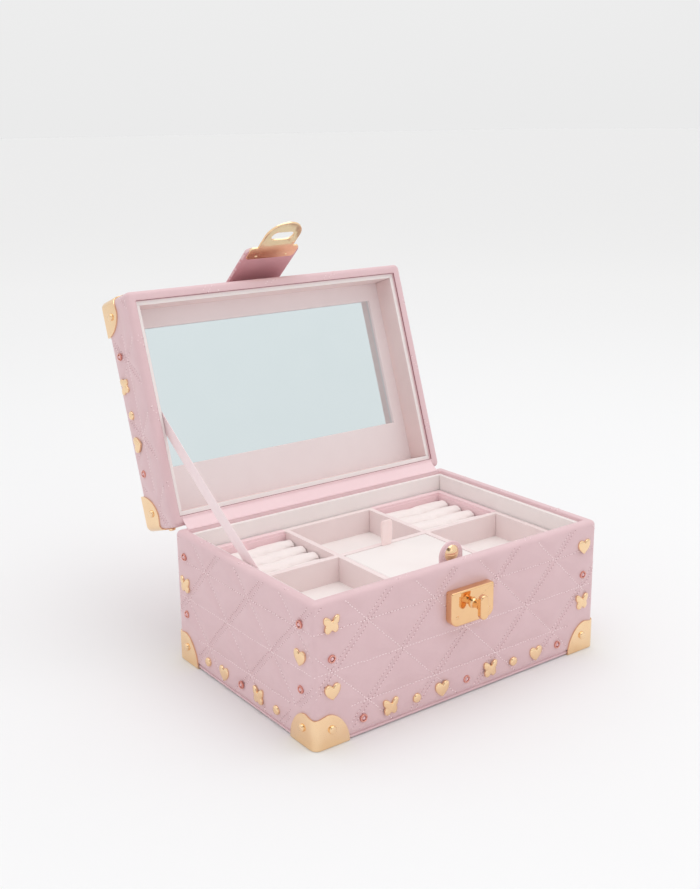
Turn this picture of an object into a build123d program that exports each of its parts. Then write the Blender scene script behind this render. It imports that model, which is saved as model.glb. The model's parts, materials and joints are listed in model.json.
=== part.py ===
from build123d import *
import os
from math import hypot

os.makedirs("parts", exist_ok=True)

# Quilted jewelry box with a mirrored lid, a lift-out tray and a strap that closes over a turn lock.
# Millimetres and degrees. The origin is the middle of the footprint on the table, with the front
# towards -Y. The lid is modelled open, where its ribbon stay stops it.

# Outer sizes
box_width = 240
box_depth = 165
base_height = 94.5
lid_height = 39.5
lid_opening = 108.6
rim_gap = 1.0
corner_radius = 4
rim_radius = 3.2
mouth_radius = 1.2
top_radius = 3.5
level_slack = 0.01

# Wall layers, from the outside in
cover = 2.2
rim_cover = 1.6
board = 4.8
liner = 3.0
liner_drop = 2.5
liner_edge = 1.1
bottom_cover_thickness = 1.5
bottom_cover_inset = 0.4
bottom_board_thickness = 4
floor_pad_thickness = 2
lid_board_thickness = 6.3

# Mirror
mirror_recess = 22
mirror_side_margin = 10
mirror_front_margin = 13.5
mirror_rear_margin = 31.5
mirror_thickness = 3
mirror_setback = 2.5
mirror_fit = 0.15

# Tray
tray_drop = 14.5
tray_height = 20
tray_clearance = 1.2
tray_wall = 4.2
tray_edge = 1.9
tray_floor_thickness = 2.5
long_divider_back = 4
cross_divider_spacing = 76
bay_lining = 0.8
ring_roll_count = 4
ring_roll_drop = 3
ring_roll_gap = 0.3
ring_roll_end = 1.2
tray_support_thickness = 3

# Lift tab of the tray
tab_width = 19
tab_height = 39.5
tab_thickness = 2
tab_rivet_radius = 5.7
tab_rivet_rise = 1.5
tab_rivet_height = 3

# Compartment lid
panel_thickness = 2.6
panel_clearance = 0.4
ledge_width = 3
ledge_height = 2.5
pull_width = 10
pull_height = 18
pull_thickness = 1.6

# Hinges
hinge_spacing = 140
hinge_width = 26
leaf_height = 12
leaf_thickness = 1
knuckle_length = 8
knuckle_clearance = 0.25
pin_radius = 0.9
pin_fit = 0.05
screw_spacing = 16
screw_radius = 1.05
screw_fit = 0.05
screw_depth = 6
screw_head_radius = 1.9
screw_head_height = 0.9

# Soft strip over the rear rims, and the ribbon that stops the lid
strip_thickness = 0.45
strip_reach = 6.6
strip_bend = 1.5
strip_inset = 14
strip_margin = 0.8
stay_width = 10
stay_thickness = 0.5
stay_gap = 0.25
stay_base_y = -10
stay_base_z = 85
stay_lid_reach = 91
stay_lid_drop = 4.6

# Corner guards
guard_thickness = 1
guard_reach = 25
guard_rise = 22
guard_shoulder = 9
guard_notch = 1.8
guard_edge = 0.8
guard_rivet_inset = 12
guard_rivet_radius = 2.2
guard_rivet_height = 1

# Studs
stud_step = 21
stud_row_height = 11.5
long_row_inset = 36
side_row_inset = 40.5
stud_column_step = 21
stud_column_inset = 13
stud_column_start = 0.2
stud_height = 1.6
heart_width = 10
butterfly_width = 10
dot_radius = 2.6
crystal_cup_radius = 2.9
crystal_cup_height = 1.1
crystal_radius = 2.2
crystal_seat = 0.4
crystal_girdle = 0.7
crystal_crown = 0.7
crystal_sides = 8
crystal_slope = 45

# Turn lock
lock_width = 36
lock_height = 23.5
lock_bottom = 53.5
lock_depth = 6
lock_corner = 6
lock_top_corner = 1.4
lock_bevel = 0.8
lock_rivet_inset = 4.5
lock_rivet_rise = 6.5
lock_rivet_radius = 1.3
lock_rivet_height = 0.6
knob_rise = 13.5
knob_shaft_radius = 2.4
knob_fit = 0.08
knob_flange_radius = 5
knob_flange_thickness = 1.6
knob_end_play = 0.2
knob_reach = 13
wing_length = 16.5
wing_width = 6.8
wing_thickness = 4.2
wing_edge = 1.2

# Closing strap
strap_width = 42
strap_thickness = 3.2
strap_clearance = 0.35
strap_turn_down = 4
strap_root_length = 38
strap_root_corner = 9
strap_length = 49
strap_corner = 3
strap_opening = 23
catch_thickness = 1.4
catch_sink = 1.0
catch_start = 36
catch_width = 37
catch_ear = 3
catch_tongue_radius = 15
catch_edge = 0.4
catch_fit = 0.1
slot_clearance = 1
catch_rivet_spacing = 26
catch_rivet_inset = 3
catch_rivet_radius = 1.3
catch_rivet_height = 0.6

# Levels and plan sizes that follow
walls_floor = guard_thickness + bottom_cover_thickness
base_board_top = base_height - rim_cover
base_liner_floor = walls_floor + bottom_board_thickness
base_floor = base_liner_floor + floor_pad_thickness
lid_floor = base_height + rim_gap
lid_top = lid_floor + lid_height
lid_board_bottom = lid_height - cover - lid_board_thickness
shell_width = box_width - 2 * cover
shell_depth = box_depth - 2 * cover
inside_width = shell_width - 2 * board
inside_depth = shell_depth - 2 * board
cavity_width = inside_width - 2 * liner
cavity_depth = inside_depth - 2 * liner
mirror_width = cavity_width - 2 * mirror_side_margin
mirror_depth = cavity_depth - mirror_front_margin - mirror_rear_margin
mirror_forward = (mirror_rear_margin - mirror_front_margin) / 2
tray_top = base_height - tray_drop
tray_bottom = tray_top - tray_height
tray_floor_top = tray_bottom + tray_floor_thickness
tray_width = cavity_width - 2 * tray_clearance
tray_depth = cavity_depth - 2 * tray_clearance
tray_inside_width = tray_width - 2 * tray_wall
tray_inside_depth = tray_depth - 2 * tray_wall

# Placing: the lid's pieces are drawn as if it were shut, then swung open about the hinge pins
hinge_y = box_depth / 2 + leaf_thickness / 2
hinge_z = base_height + rim_gap / 2
lid_swing = (
    Location((0, hinge_y, hinge_z))
    * Location((0, 0, 0), (-lid_opening, 0, 0))
    * Location((0, -hinge_y, -hinge_z))
)
strap_y = -box_depth / 2 - strap_clearance - strap_thickness / 2
strap_z = lid_top - strap_turn_down - strap_clearance - strap_thickness / 2
strap_swing = lid_swing * Location((0, strap_y, strap_z), (-strap_opening, 0, 0))


def carried(swing, plane):
    """A plane of the shut box, carried along by a swing."""
    return Plane(swing * plane.location)


def lid_level(height):
    """Level plane of the lid, a height above its rim."""
    return carried(lid_swing, Plane.XY.offset(lid_floor + height))


lid_up = Axis(lid_level(0).origin, lid_level(0).z_dir)


def at_level(shapes, level):
    """Those of the edges or faces that lie in a level plane of the lid."""
    return shapes.filter_by_position(lid_up, level - level_slack, level + level_slack)


def spot(face, across, up):
    """Plane on a face with its origin at a place on that face."""
    return Plane(face * Location((across, up, 0)))


# The outer faces, each with its own X across and Y up, measured from the table or from the lid's rim
base_front = Plane((0, -box_depth / 2, 0), x_dir=(1, 0, 0), z_dir=(0, -1, 0))
base_back = Plane((0, box_depth / 2, 0), x_dir=(-1, 0, 0), z_dir=(0, 1, 0))
base_left = Plane((-box_width / 2, 0, 0), x_dir=(0, -1, 0), z_dir=(-1, 0, 0))
base_right = Plane((box_width / 2, 0, 0), x_dir=(0, 1, 0), z_dir=(1, 0, 0))
lid_rise = Location((0, 0, lid_floor))
lid_front = carried(lid_swing * lid_rise, base_front)
lid_back = carried(lid_swing * lid_rise, base_back)
lid_left = carried(lid_swing * lid_rise, base_left)
lid_right = carried(lid_swing * lid_rise, base_right)


def wall_pair(level, height, size, apart, edge=0, along=Axis.X):
    """Two walls alike that face each other, with their upper long edges rounded if an edge is given."""
    up = Axis(level.origin, level.z_dir)
    with BuildPart() as walls:
        with BuildSketch(level):
            with GridLocations(*apart, 2 if apart[0] else 1, 2 if apart[1] else 1):
                Rectangle(*size)
        extrude(amount=height)
        if edge:
            fillet(walls.edges().group_by(up)[-1].filter_by(along), edge)
    return walls


def domes(places, radius, height):
    """Round-headed studs, one standing on the origin of each place."""
    with BuildPart() as studs:
        for place in places:
            upright = Plane(place.origin, x_dir=place.x_dir, z_dir=place.x_dir.cross(place.z_dir))
            with BuildSketch(upright):
                with BuildLine():
                    Polyline((radius, 0), (0, 0), (0, height))
                    TangentArc((0, height), (radius, 0), tangent=(1, 0))
                make_face()
            revolve(axis=Axis(place.origin, place.z_dir))
    return studs


# Base carcass and cover
with BuildPart() as base_bottom_cover:
    with BuildSketch(Plane.XY.offset(guard_thickness)):
        RectangleRounded(
            box_width - 2 * bottom_cover_inset, box_depth - 2 * bottom_cover_inset, corner_radius
        )
    extrude(amount=bottom_cover_thickness)

with BuildPart() as base_bottom_board:
    with BuildSketch(Plane.XY.offset(walls_floor)):
        Rectangle(inside_width, inside_depth)
    extrude(amount=bottom_board_thickness)

leaf_middle = leaf_thickness / 2 + leaf_height / 2 + rim_radius
base_screw_spots = [
    (side * hinge_spacing / 2 + end * screw_spacing / 2, base_height - leaf_middle)
    for side in (-1, 1)
    for end in (-1, 1)
]
lid_screw_spots = [(across, leaf_middle) for across, _ in base_screw_spots]

with BuildPart() as base_long_boards:
    with BuildSketch(Plane.XY.offset(walls_floor)):
        with GridLocations(0, shell_depth - board, 1, 2):
            Rectangle(shell_width, board)
    extrude(amount=base_board_top - walls_floor)
    with BuildSketch(base_back):
        with Locations(*base_screw_spots):
            Circle(screw_radius + screw_fit)
    extrude(amount=-screw_depth, mode=Mode.SUBTRACT)

base_side_boards = wall_pair(
    Plane.XY.offset(walls_floor),
    base_board_top - walls_floor,
    (board, inside_depth),
    (shell_width - board, 0),
)

with BuildPart() as base_cover:
    with BuildSketch(Plane.XY.offset(walls_floor)):
        RectangleRounded(box_width, box_depth, corner_radius)
    extrude(amount=base_height - walls_floor)
    fillet(base_cover.edges().group_by(Axis.Z)[-1], rim_radius)
    with BuildSketch(Plane.XY.offset(walls_floor)):
        Rectangle(shell_width, shell_depth)
    extrude(amount=base_board_top - walls_floor, mode=Mode.SUBTRACT)
    with BuildSketch(Plane.XY.offset(base_board_top)):
        Rectangle(inside_width, inside_depth)
    extrude(amount=rim_cover, mode=Mode.SUBTRACT)
    fillet(base_cover.faces().sort_by(Axis.Z)[-1].inner_wires()[0].edges(), mouth_radius)
    with BuildSketch(base_back):
        with Locations(*base_screw_spots):
            Circle(screw_radius + screw_fit)
    extrude(amount=-cover, mode=Mode.SUBTRACT)

# Base lining and the cards that carry the tray
base_liner_height = base_height - liner_drop - base_liner_floor
base_long_liners = wall_pair(
    Plane.XY.offset(base_liner_floor),
    base_liner_height,
    (inside_width, liner),
    (0, inside_depth - liner),
    liner_edge,
)
base_side_liners = wall_pair(
    Plane.XY.offset(base_liner_floor),
    base_liner_height,
    (liner, cavity_depth),
    (inside_width - liner, 0),
    liner_edge,
    Axis.Y,
)

with BuildPart() as base_floor_pad:
    with BuildSketch(Plane.XY.offset(base_liner_floor)):
        Rectangle(cavity_width, cavity_depth)
    extrude(amount=floor_pad_thickness)

tray_supports = wall_pair(
    Plane.XY.offset(base_floor),
    tray_bottom - base_floor,
    (tray_support_thickness, cavity_depth),
    (cavity_width - tray_support_thickness, 0),
)

# Lid carcass, cover and lining
with BuildPart() as lid_top_board:
    with BuildSketch(lid_level(lid_board_bottom)):
        Rectangle(inside_width, inside_depth)
    extrude(amount=lid_board_thickness)

lid_wall_height = lid_height - cover - rim_cover
with BuildPart() as lid_long_boards:
    with BuildSketch(lid_level(rim_cover)):
        with GridLocations(0, shell_depth - board, 1, 2):
            Rectangle(shell_width, board)
    extrude(amount=lid_wall_height)
    with BuildSketch(lid_back):
        with Locations(*lid_screw_spots):
            Circle(screw_radius + screw_fit)
    extrude(amount=-screw_depth, mode=Mode.SUBTRACT)

lid_side_boards = wall_pair(
    lid_level(rim_cover), lid_wall_height, (board, inside_depth), (shell_width - board, 0)
)

with BuildPart() as lid_cover:
    with BuildSketch(lid_level(0)):
        RectangleRounded(box_width, box_depth, corner_radius)
    extrude(amount=lid_height)
    fillet(at_level(lid_cover.edges(), lid_height), top_radius)
    fillet(at_level(lid_cover.edges(), 0), rim_radius)
    with BuildSketch(lid_level(rim_cover)):
        Rectangle(shell_width, shell_depth)
    extrude(amount=lid_wall_height, mode=Mode.SUBTRACT)
    with BuildSketch(lid_level(0)):
        Rectangle(inside_width, inside_depth)
    extrude(amount=rim_cover, mode=Mode.SUBTRACT)
    fillet(at_level(lid_cover.faces(), 0)[0].inner_wires()[0].edges(), mouth_radius)
    with BuildSketch(lid_back):
        with Locations(*lid_screw_spots):
            Circle(screw_radius + screw_fit)
    extrude(amount=-cover, mode=Mode.SUBTRACT)


def lid_liners(size, apart):
    """Two facing liners of the lid, with their edges at the rim rounded."""
    with BuildPart() as walls:
        with BuildSketch(lid_level(liner_drop)):
            with GridLocations(*apart, 2 if apart[0] else 1, 2 if apart[1] else 1):
                Rectangle(*size)
        extrude(amount=lid_board_bottom - liner_drop)
        rim_edges = at_level(walls.edges(), liner_drop)
        fillet(rim_edges.filter_by(lambda edge: edge.length > 2 * liner), liner_edge)
    return walls


lid_long_liners = lid_liners((inside_width, liner), (0, inside_depth - liner))
lid_side_liners = lid_liners((liner, cavity_depth), (inside_width - liner, 0))

mirror_pocket = mirror_setback + mirror_thickness
with BuildPart() as mirror_board:
    with BuildSketch(lid_level(mirror_recess)):
        Rectangle(cavity_width, cavity_depth)
    extrude(amount=lid_board_bottom - mirror_recess)
    with BuildSketch(lid_level(mirror_recess)):
        with Locations((0, -mirror_forward)):
            Rectangle(mirror_width + 2 * mirror_fit, mirror_depth + 2 * mirror_fit)
    extrude(amount=mirror_pocket, mode=Mode.SUBTRACT)

with BuildPart() as lid_mirror:
    with BuildSketch(lid_level(mirror_recess + mirror_setback)):
        with Locations((0, -mirror_forward)):
            Rectangle(mirror_width, mirror_depth)
    extrude(amount=mirror_thickness)


# Hinges: the middle knuckle is the lid's, the outer two are the base's
knuckle_room = hypot(rim_radius + leaf_thickness / 2, rim_radius + rim_gap / 2) - rim_radius
knuckle_radius = knuckle_room - knuckle_clearance
lid_knuckle_length = hinge_width - 2 * knuckle_length - 2 * knuckle_clearance
base_knuckle_spacing = hinge_width - knuckle_length
leaf_gap = leaf_middle - leaf_height / 2


def hinge_leaves(face, pin_height, upward, knuckles, knuckle_size, screw_spots):
    """Both hinge leaves on a rear face, with their knuckles around the pins and their screw holes."""
    pin_line = Plane(face * Location((0, pin_height, 0))).offset(leaf_thickness / 2)
    web_middle = pin_height + upward * (leaf_gap + leaf_thickness) / 2
    with BuildPart() as leaves:
        for side in (-1, 1):
            middle = side * hinge_spacing / 2
            with BuildSketch(face):
                with Locations((middle, pin_height + upward * (leaf_gap + leaf_height / 2))):
                    RectangleRounded(hinge_width, leaf_height, leaf_thickness)
                for knuckle in knuckles:
                    with Locations((middle + knuckle, web_middle)):
                        Rectangle(knuckle_size, leaf_gap + leaf_thickness)
            extrude(amount=leaf_thickness)
            for knuckle in knuckles:
                end = spot(pin_line, middle + knuckle - knuckle_size / 2, 0)
                with BuildSketch(Plane(end.origin, x_dir=end.y_dir, z_dir=end.x_dir)):
                    Circle(knuckle_radius)
                extrude(amount=knuckle_size)
            bore = spot(pin_line, middle - hinge_width / 2, 0)
            with BuildSketch(Plane(bore.origin, x_dir=bore.y_dir, z_dir=bore.x_dir)):
                Circle(pin_radius + pin_fit)
            extrude(amount=hinge_width, mode=Mode.SUBTRACT)
        with BuildSketch(face):
            with Locations(*screw_spots):
                Circle(screw_radius + screw_fit)
        extrude(amount=leaf_thickness, mode=Mode.SUBTRACT)
    return leaves


base_hinge_leaves = hinge_leaves(
    base_back,
    hinge_z,
    -1,
    (-base_knuckle_spacing / 2, base_knuckle_spacing / 2),
    knuckle_length,
    base_screw_spots,
)
lid_hinge_leaves = hinge_leaves(
    lid_back, hinge_z - lid_floor, 1, (0,), lid_knuckle_length, lid_screw_spots
)

with BuildPart() as hinge_pins:
    with BuildSketch(Plane((-(hinge_spacing + hinge_width) / 2, hinge_y, hinge_z), z_dir=(1, 0, 0))):
        Circle(pin_radius)
    extrude(amount=hinge_width)
    mirror(about=Plane.YZ)


def hinge_screws(face, spots):
    """Screws with round heads on the leaves and shanks into the board behind."""
    places = [spot(face, *place).offset(leaf_thickness) for place in spots]
    screws = domes(places, screw_head_radius, screw_head_height)
    with BuildPart() as shanks:
        add(screws.part)
        with BuildSketch(face.offset(leaf_thickness)):
            with Locations(*spots):
                Circle(screw_radius)
        extrude(amount=-(leaf_thickness + screw_depth))
    return shanks


base_hinge_screws = hinge_screws(base_back, base_screw_spots)
lid_hinge_screws = hinge_screws(lid_back, lid_screw_spots)

# Soft strip that closes the gap between the rear rims on the inside
strip_fold = rim_radius + strip_margin
strip_lid_edge = [
    (lid_swing * Location((0, box_depth / 2 - reach, lid_floor - strip_thickness / 2))).position
    for reach in (strip_fold, strip_reach)
]
with BuildPart() as hinge_strip:
    with BuildSketch(Plane.YZ):
        with BuildLine():
            FilletPolyline(
                (box_depth / 2 - strip_reach, base_height + strip_thickness / 2),
                (box_depth / 2 - strip_fold, base_height + strip_thickness / 2),
                *[(edge.Y, edge.Z) for edge in strip_lid_edge],
                radius=strip_bend,
            )
        trace(line_width=strip_thickness)
    extrude(amount=box_width / 2 - strip_inset, both=True)

# Ribbon that stops the lid, from the left liner of the base to the left liner of the lid
stay_lid_end = (
    lid_swing * Location((0, box_depth / 2 - stay_lid_reach, lid_floor + mirror_recess - stay_lid_drop))
).position
with BuildPart() as ribbon_stay:
    with BuildSketch(Plane.YZ.offset(-cavity_width / 2 + stay_gap)):
        with BuildLine():
            Line((stay_base_y, stay_base_z), (stay_lid_end.Y, stay_lid_end.Z))
        trace(line_width=stay_width)
    extrude(amount=stay_thickness)


# Corner guards: a thin shell around the end of the box, cut to four corners by three outlines
def corner_guards(level):
    """Four corner caps on the end of the box that stands on the level plane."""
    front = Plane(level.origin, x_dir=level.x_dir, z_dir=level.x_dir.cross(level.z_dir))
    side = Plane(level.origin, x_dir=level.y_dir, z_dir=level.x_dir)
    outside = Axis(level.origin, level.z_dir)
    margin = 2 * guard_thickness
    with BuildPart() as guards:
        with BuildSketch(level):
            RectangleRounded(
                box_width + 2 * guard_thickness,
                box_depth + 2 * guard_thickness,
                corner_radius + guard_thickness,
            )
        extrude(amount=guard_rise + margin)
        fillet(guards.edges().filter_by_position(outside, -level_slack, level_slack), guard_edge)
        with BuildSketch(level.offset(guard_thickness)):
            RectangleRounded(box_width, box_depth, corner_radius)
        extrude(amount=guard_rise + margin, mode=Mode.SUBTRACT)
        for plane, half, through in ((front, box_width / 2, box_depth), (side, box_depth / 2, box_width)):
            with BuildSketch(plane):
                with BuildLine():
                    Polyline(
                        (half, guard_rise - guard_notch),
                        (half, guard_rise + margin),
                        (half + margin, guard_rise + margin),
                        (half + margin, -margin),
                        (half - guard_reach, -margin),
                        (half - guard_reach, guard_notch),
                    )
                    Spline(
                        (half - guard_reach, guard_notch),
                        (half - guard_shoulder, guard_rise),
                        tangents=((0, 1), (1, 0)),
                        tangent_scalars=(1, 1),
                    )
                    Line((half - guard_shoulder, guard_rise), (half, guard_rise - guard_notch))
                make_face()
                mirror(about=Plane.YZ)
            extrude(amount=through, both=True, mode=Mode.INTERSECT)
        with BuildSketch(level):
            with BuildLine():
                Polyline(
                    (box_width / 2 - guard_reach, box_depth / 2 - guard_notch),
                    (box_width / 2 - guard_reach, box_depth / 2 + margin),
                    (box_width / 2 + margin, box_depth / 2 + margin),
                    (box_width / 2 + margin, box_depth / 2 - guard_reach),
                    (box_width / 2 - guard_notch, box_depth / 2 - guard_reach),
                )
                RadiusArc(
                    (box_width / 2 - guard_notch, box_depth / 2 - guard_reach),
                    (box_width / 2 - guard_reach, box_depth / 2 - guard_notch),
                    guard_reach,
                )
            make_face()
            mirror(about=Plane.YZ)
            mirror(about=Plane.XZ)
        extrude(amount=guard_rise + margin, mode=Mode.INTERSECT)
    return guards


base_guards = corner_guards(Plane.XY)
lid_guards = corner_guards(
    carried(lid_swing, Plane((0, 0, lid_top + guard_thickness), x_dir=(1, 0, 0), z_dir=(0, 0, -1)))
)


def guard_rivets(faces, height):
    """Two rivets on each guard, one on each upright face."""
    places = []
    for face, half in zip(faces, (box_width / 2, box_width / 2, box_depth / 2, box_depth / 2)):
        for end in (-1, 1):
            places.append(spot(face, end * (half - guard_rivet_inset), height).offset(guard_thickness))
    return domes(places, guard_rivet_radius, guard_rivet_height)


base_guard_rivets = guard_rivets((base_front, base_back, base_left, base_right), guard_rivet_inset)
lid_guard_rivets = guard_rivets((lid_front, lid_back, lid_left, lid_right), lid_height - guard_rivet_inset)


# Studs: which kind sits where on each face
def stud_line(face, kinds, start, step):
    """Studs of the named kinds in a row, each as its kind and the plane that it sits on."""
    return [
        (kind, spot(face, start[0] + n * step[0], start[1] + n * step[1]))
        for n, kind in enumerate(kinds.split())
    ]


def stud_row(face, reach, height, kinds):
    """Studs evenly along a level row that reaches as far to either side of the middle."""
    step = 2 * reach / (len(kinds.split()) - 1)
    return stud_line(face, kinds, (-reach, height), (step, 0))


def stud_frame(face, half, row_inset, left_kinds, row_kinds, right_kinds):
    """Studs down both upright edges of a base face and along its foot."""
    column = half - stud_column_inset
    column_top = stud_row_height + (len(left_kinds.split()) + stud_column_start) * stud_column_step
    return (
        stud_line(face, left_kinds, (-column, column_top), (0, -stud_column_step))
        + stud_row(face, half - row_inset, stud_row_height, row_kinds)
        + stud_line(face, right_kinds, (column, column_top), (0, -stud_column_step))
    )


base_studs = (
    stud_frame(
        base_front,
        box_width / 2,
        long_row_inset,
        "butterfly crystal heart",
        "crystal butterfly dot heart crystal butterfly dot heart crystal",
        "heart crystal butterfly",
    )
    + stud_frame(
        base_left,
        box_depth / 2,
        side_row_inset,
        "crystal butterfly crystal",
        "dot heart crystal butterfly dot",
        "crystal heart crystal",
    )
    + stud_frame(
        base_right,
        box_depth / 2,
        side_row_inset,
        "crystal heart crystal",
        "dot butterfly crystal heart dot",
        "crystal butterfly crystal",
    )
)
lid_row = lid_height - stud_row_height
lid_front_reach = box_width / 2 - long_row_inset
lid_side_reach = box_depth / 2 - side_row_inset
lid_studs = (
    stud_row(lid_left, lid_side_reach, lid_row, "crystal heart dot butterfly crystal")
    + stud_row(lid_right, lid_side_reach, lid_row, "crystal butterfly dot heart crystal")
    + stud_line(lid_front, "crystal butterfly dot", (-lid_front_reach, lid_row), (stud_step, 0))
    + stud_line(lid_front, "crystal heart dot", (lid_front_reach, lid_row), (-stud_step, 0))
)

with BuildSketch() as heart_outline:
    with BuildLine():
        Spline(
            (0, 0.22 * heart_width),
            (0.27 * heart_width, 0.42 * heart_width),
            (0.5 * heart_width, 0.16 * heart_width),
            (0, -0.48 * heart_width),
            tangents=((0.3, 1), (-0.75, -0.66)),
        )
        Line((0, 0.22 * heart_width), (0, -0.48 * heart_width))
    make_face()
    mirror(about=Plane.YZ)

with BuildSketch() as butterfly_outline:
    with BuildLine():
        Spline(
            (0, 0.1 * butterfly_width),
            (0.42 * butterfly_width, 0.48 * butterfly_width),
            (0.44 * butterfly_width, 0.14 * butterfly_width),
            (0.3 * butterfly_width, 0),
            (0.34 * butterfly_width, -0.36 * butterfly_width),
            (0.14 * butterfly_width, -0.4 * butterfly_width),
            (0, -0.16 * butterfly_width),
        )
        Line((0, 0.1 * butterfly_width), (0, -0.16 * butterfly_width))
    make_face()
    mirror(about=Plane.YZ)


def places_of(studs, kind):
    """Planes of the studs of one kind."""
    return [place for name, place in studs if name == kind]


def flat_studs(places, outline):
    """Flat metal studs of one outline."""
    with BuildPart() as studs:
        for place in places:
            with BuildSketch(place):
                add(outline.sketch)
            extrude(amount=stud_height)
    return studs


def crystal_cups(places):
    """Round metal cups with a seat for a crystal."""
    with BuildPart() as cups:
        for place in places:
            with BuildSketch(place):
                Circle(crystal_cup_radius)
            extrude(amount=crystal_cup_height)
            with BuildSketch(place.offset(crystal_seat)):
                Circle(crystal_radius)
            extrude(amount=crystal_cup_height, mode=Mode.SUBTRACT)
    return cups


def crystals(places):
    """Cut stones that stand in the cups: a many-sided girdle with a tapered crown."""
    with BuildPart() as stones:
        for place in places:
            with BuildSketch(place.offset(crystal_seat)):
                RegularPolygon(crystal_radius, crystal_sides)
            extrude(amount=crystal_girdle)
            with BuildSketch(place.offset(crystal_seat + crystal_girdle)):
                RegularPolygon(crystal_radius, crystal_sides)
            extrude(amount=crystal_crown, taper=crystal_slope)
    return stones


base_hearts = flat_studs(places_of(base_studs, "heart"), heart_outline)
base_butterflies = flat_studs(places_of(base_studs, "butterfly"), butterfly_outline)
base_dots = domes(places_of(base_studs, "dot"), dot_radius, stud_height)
base_crystal_cups = crystal_cups(places_of(base_studs, "crystal"))
base_crystals = crystals(places_of(base_studs, "crystal"))
lid_hearts = flat_studs(places_of(lid_studs, "heart"), heart_outline)
lid_butterflies = flat_studs(places_of(lid_studs, "butterfly"), butterfly_outline)
lid_dots = domes(places_of(lid_studs, "dot"), dot_radius, stud_height)
lid_crystal_cups = crystal_cups(places_of(lid_studs, "crystal"))
lid_crystals = crystals(places_of(lid_studs, "crystal"))

# Turn lock: a thick plate on the front, and a knob whose flange is held behind it
knob_height = lock_bottom + knob_rise
with BuildPart() as lock_plate:
    with BuildSketch(base_front) as lock_outline:
        with Locations((0, lock_bottom + lock_height / 2)):
            Rectangle(lock_width, lock_height)
        fillet(lock_outline.vertices().group_by(Axis.Y)[0], lock_corner)
        fillet(lock_outline.vertices().group_by(Axis.Y)[-1], lock_top_corner)
    extrude(amount=lock_depth)
    chamfer(lock_plate.faces().sort_by(Axis.Y)[0].edges(), lock_bevel)
    with BuildSketch(base_front):
        with Locations((0, knob_height)):
            Circle(knob_flange_radius + knob_end_play)
    extrude(amount=knob_flange_thickness + 2 * knob_end_play, mode=Mode.SUBTRACT)
    with BuildSketch(base_front):
        with Locations((0, knob_height)):
            Circle(knob_shaft_radius + knob_fit)
    extrude(amount=lock_depth, mode=Mode.SUBTRACT)

lock_rivet_across = lock_width / 2 - lock_rivet_inset
lock_rivets = domes(
    [
        spot(base_front, side * lock_rivet_across, lock_bottom + lock_rivet_rise).offset(lock_depth)
        for side in (-1, 1)
    ],
    lock_rivet_radius,
    lock_rivet_height,
)

knob_place = spot(base_front, 0, knob_height)
with BuildPart() as lock_knob:
    with BuildSketch(knob_place.offset(knob_reach)):
        SlotOverall(wing_length, wing_width, rotation=90)
    extrude(amount=wing_thickness)
    fillet(lock_knob.edges().filter_by(GeomType.CIRCLE), wing_edge)
    with BuildSketch(knob_place.offset(knob_end_play)):
        Circle(knob_flange_radius)
    extrude(amount=knob_flange_thickness)
    with BuildSketch(knob_place.offset(knob_end_play)):
        Circle(knob_shaft_radius)
    extrude(amount=knob_reach)

# Closing strap: its root is sewn to the lid, the flap hangs from the front edge and bends there
with BuildPart() as strap_root:
    with BuildSketch(carried(lid_swing, Plane.YZ)) as root_profile:
        with Locations((-box_depth / 2 - strap_thickness, lid_top - strap_turn_down)):
            Rectangle(
                strap_root_length + strap_thickness,
                strap_turn_down + strap_thickness,
                align=(Align.MIN, Align.MIN),
            )
        outer_corner = root_profile.vertices().group_by(Axis.Y)[-1].sort_by(Axis.X)[0]
        fillet(outer_corner, top_radius + strap_thickness)
        with BuildSketch(mode=Mode.SUBTRACT) as lid_edge:
            with Locations((-box_depth / 2, lid_top)):
                Rectangle(strap_root_length, strap_root_length, align=(Align.MIN, Align.MAX))
            fillet(lid_edge.vertices().group_by(Axis.Y)[-1].sort_by(Axis.X)[0], top_radius)
    extrude(amount=strap_width / 2, both=True)
    root_end = strap_root.faces().sort_by(Axis((0, 0, 0), lid_level(0).y_dir))[-1]
    fillet(root_end.edges().filter_by(lambda edge: edge.length < 2 * strap_thickness), strap_root_corner)

# The flap's own plane has its X across the strap and its Y along it, with the bend at the origin
flap_plane = carried(strap_swing, Plane.XZ)
flap_inner = flap_plane.offset(-strap_thickness / 2)
catch_inner = flap_inner.offset(catch_sink - catch_thickness)
slot_along = strap_z - knob_height
slot_length = wing_length + 2 * slot_clearance
slot_width = wing_width + 2 * slot_clearance
with BuildPart() as strap_flap:
    with BuildSketch(flap_inner) as flap_outline:
        with Locations((0, -strap_length / 2)):
            Rectangle(strap_width, strap_length)
        fillet(flap_outline.vertices().group_by(Axis.Y)[0], strap_corner)
    extrude(amount=strap_thickness)
    with BuildSketch(carried(strap_swing, Plane.YZ.offset(-strap_width / 2))):
        Circle(strap_thickness / 2)
    extrude(amount=strap_width)
    with BuildSketch(flap_inner):
        with Locations((0, -(catch_start + strap_length) / 2)):
            Rectangle(catch_width + 2 * catch_fit, strap_length - catch_start + 2 * catch_fit)
    extrude(amount=catch_sink, mode=Mode.SUBTRACT)

with BuildPart() as catch_plate:
    with BuildSketch(catch_inner) as catch_outline:
        with Locations((0, -(catch_start + strap_length) / 2)):
            Rectangle(catch_width, strap_length - catch_start)
        fillet(catch_outline.vertices(), catch_ear)
        with Locations((0, -(slot_along + strap_length) / 2)):
            Rectangle(2 * catch_tongue_radius, slot_along - strap_length)
        with Locations((0, -slot_along)):
            Circle(catch_tongue_radius)
            SlotOverall(slot_length, slot_width, mode=Mode.SUBTRACT)
    extrude(amount=catch_thickness)
    catch_depth = Axis(catch_inner.origin, catch_inner.z_dir)
    fillet(catch_plate.faces().sort_by(catch_depth)[0].edges(), catch_edge)

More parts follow.
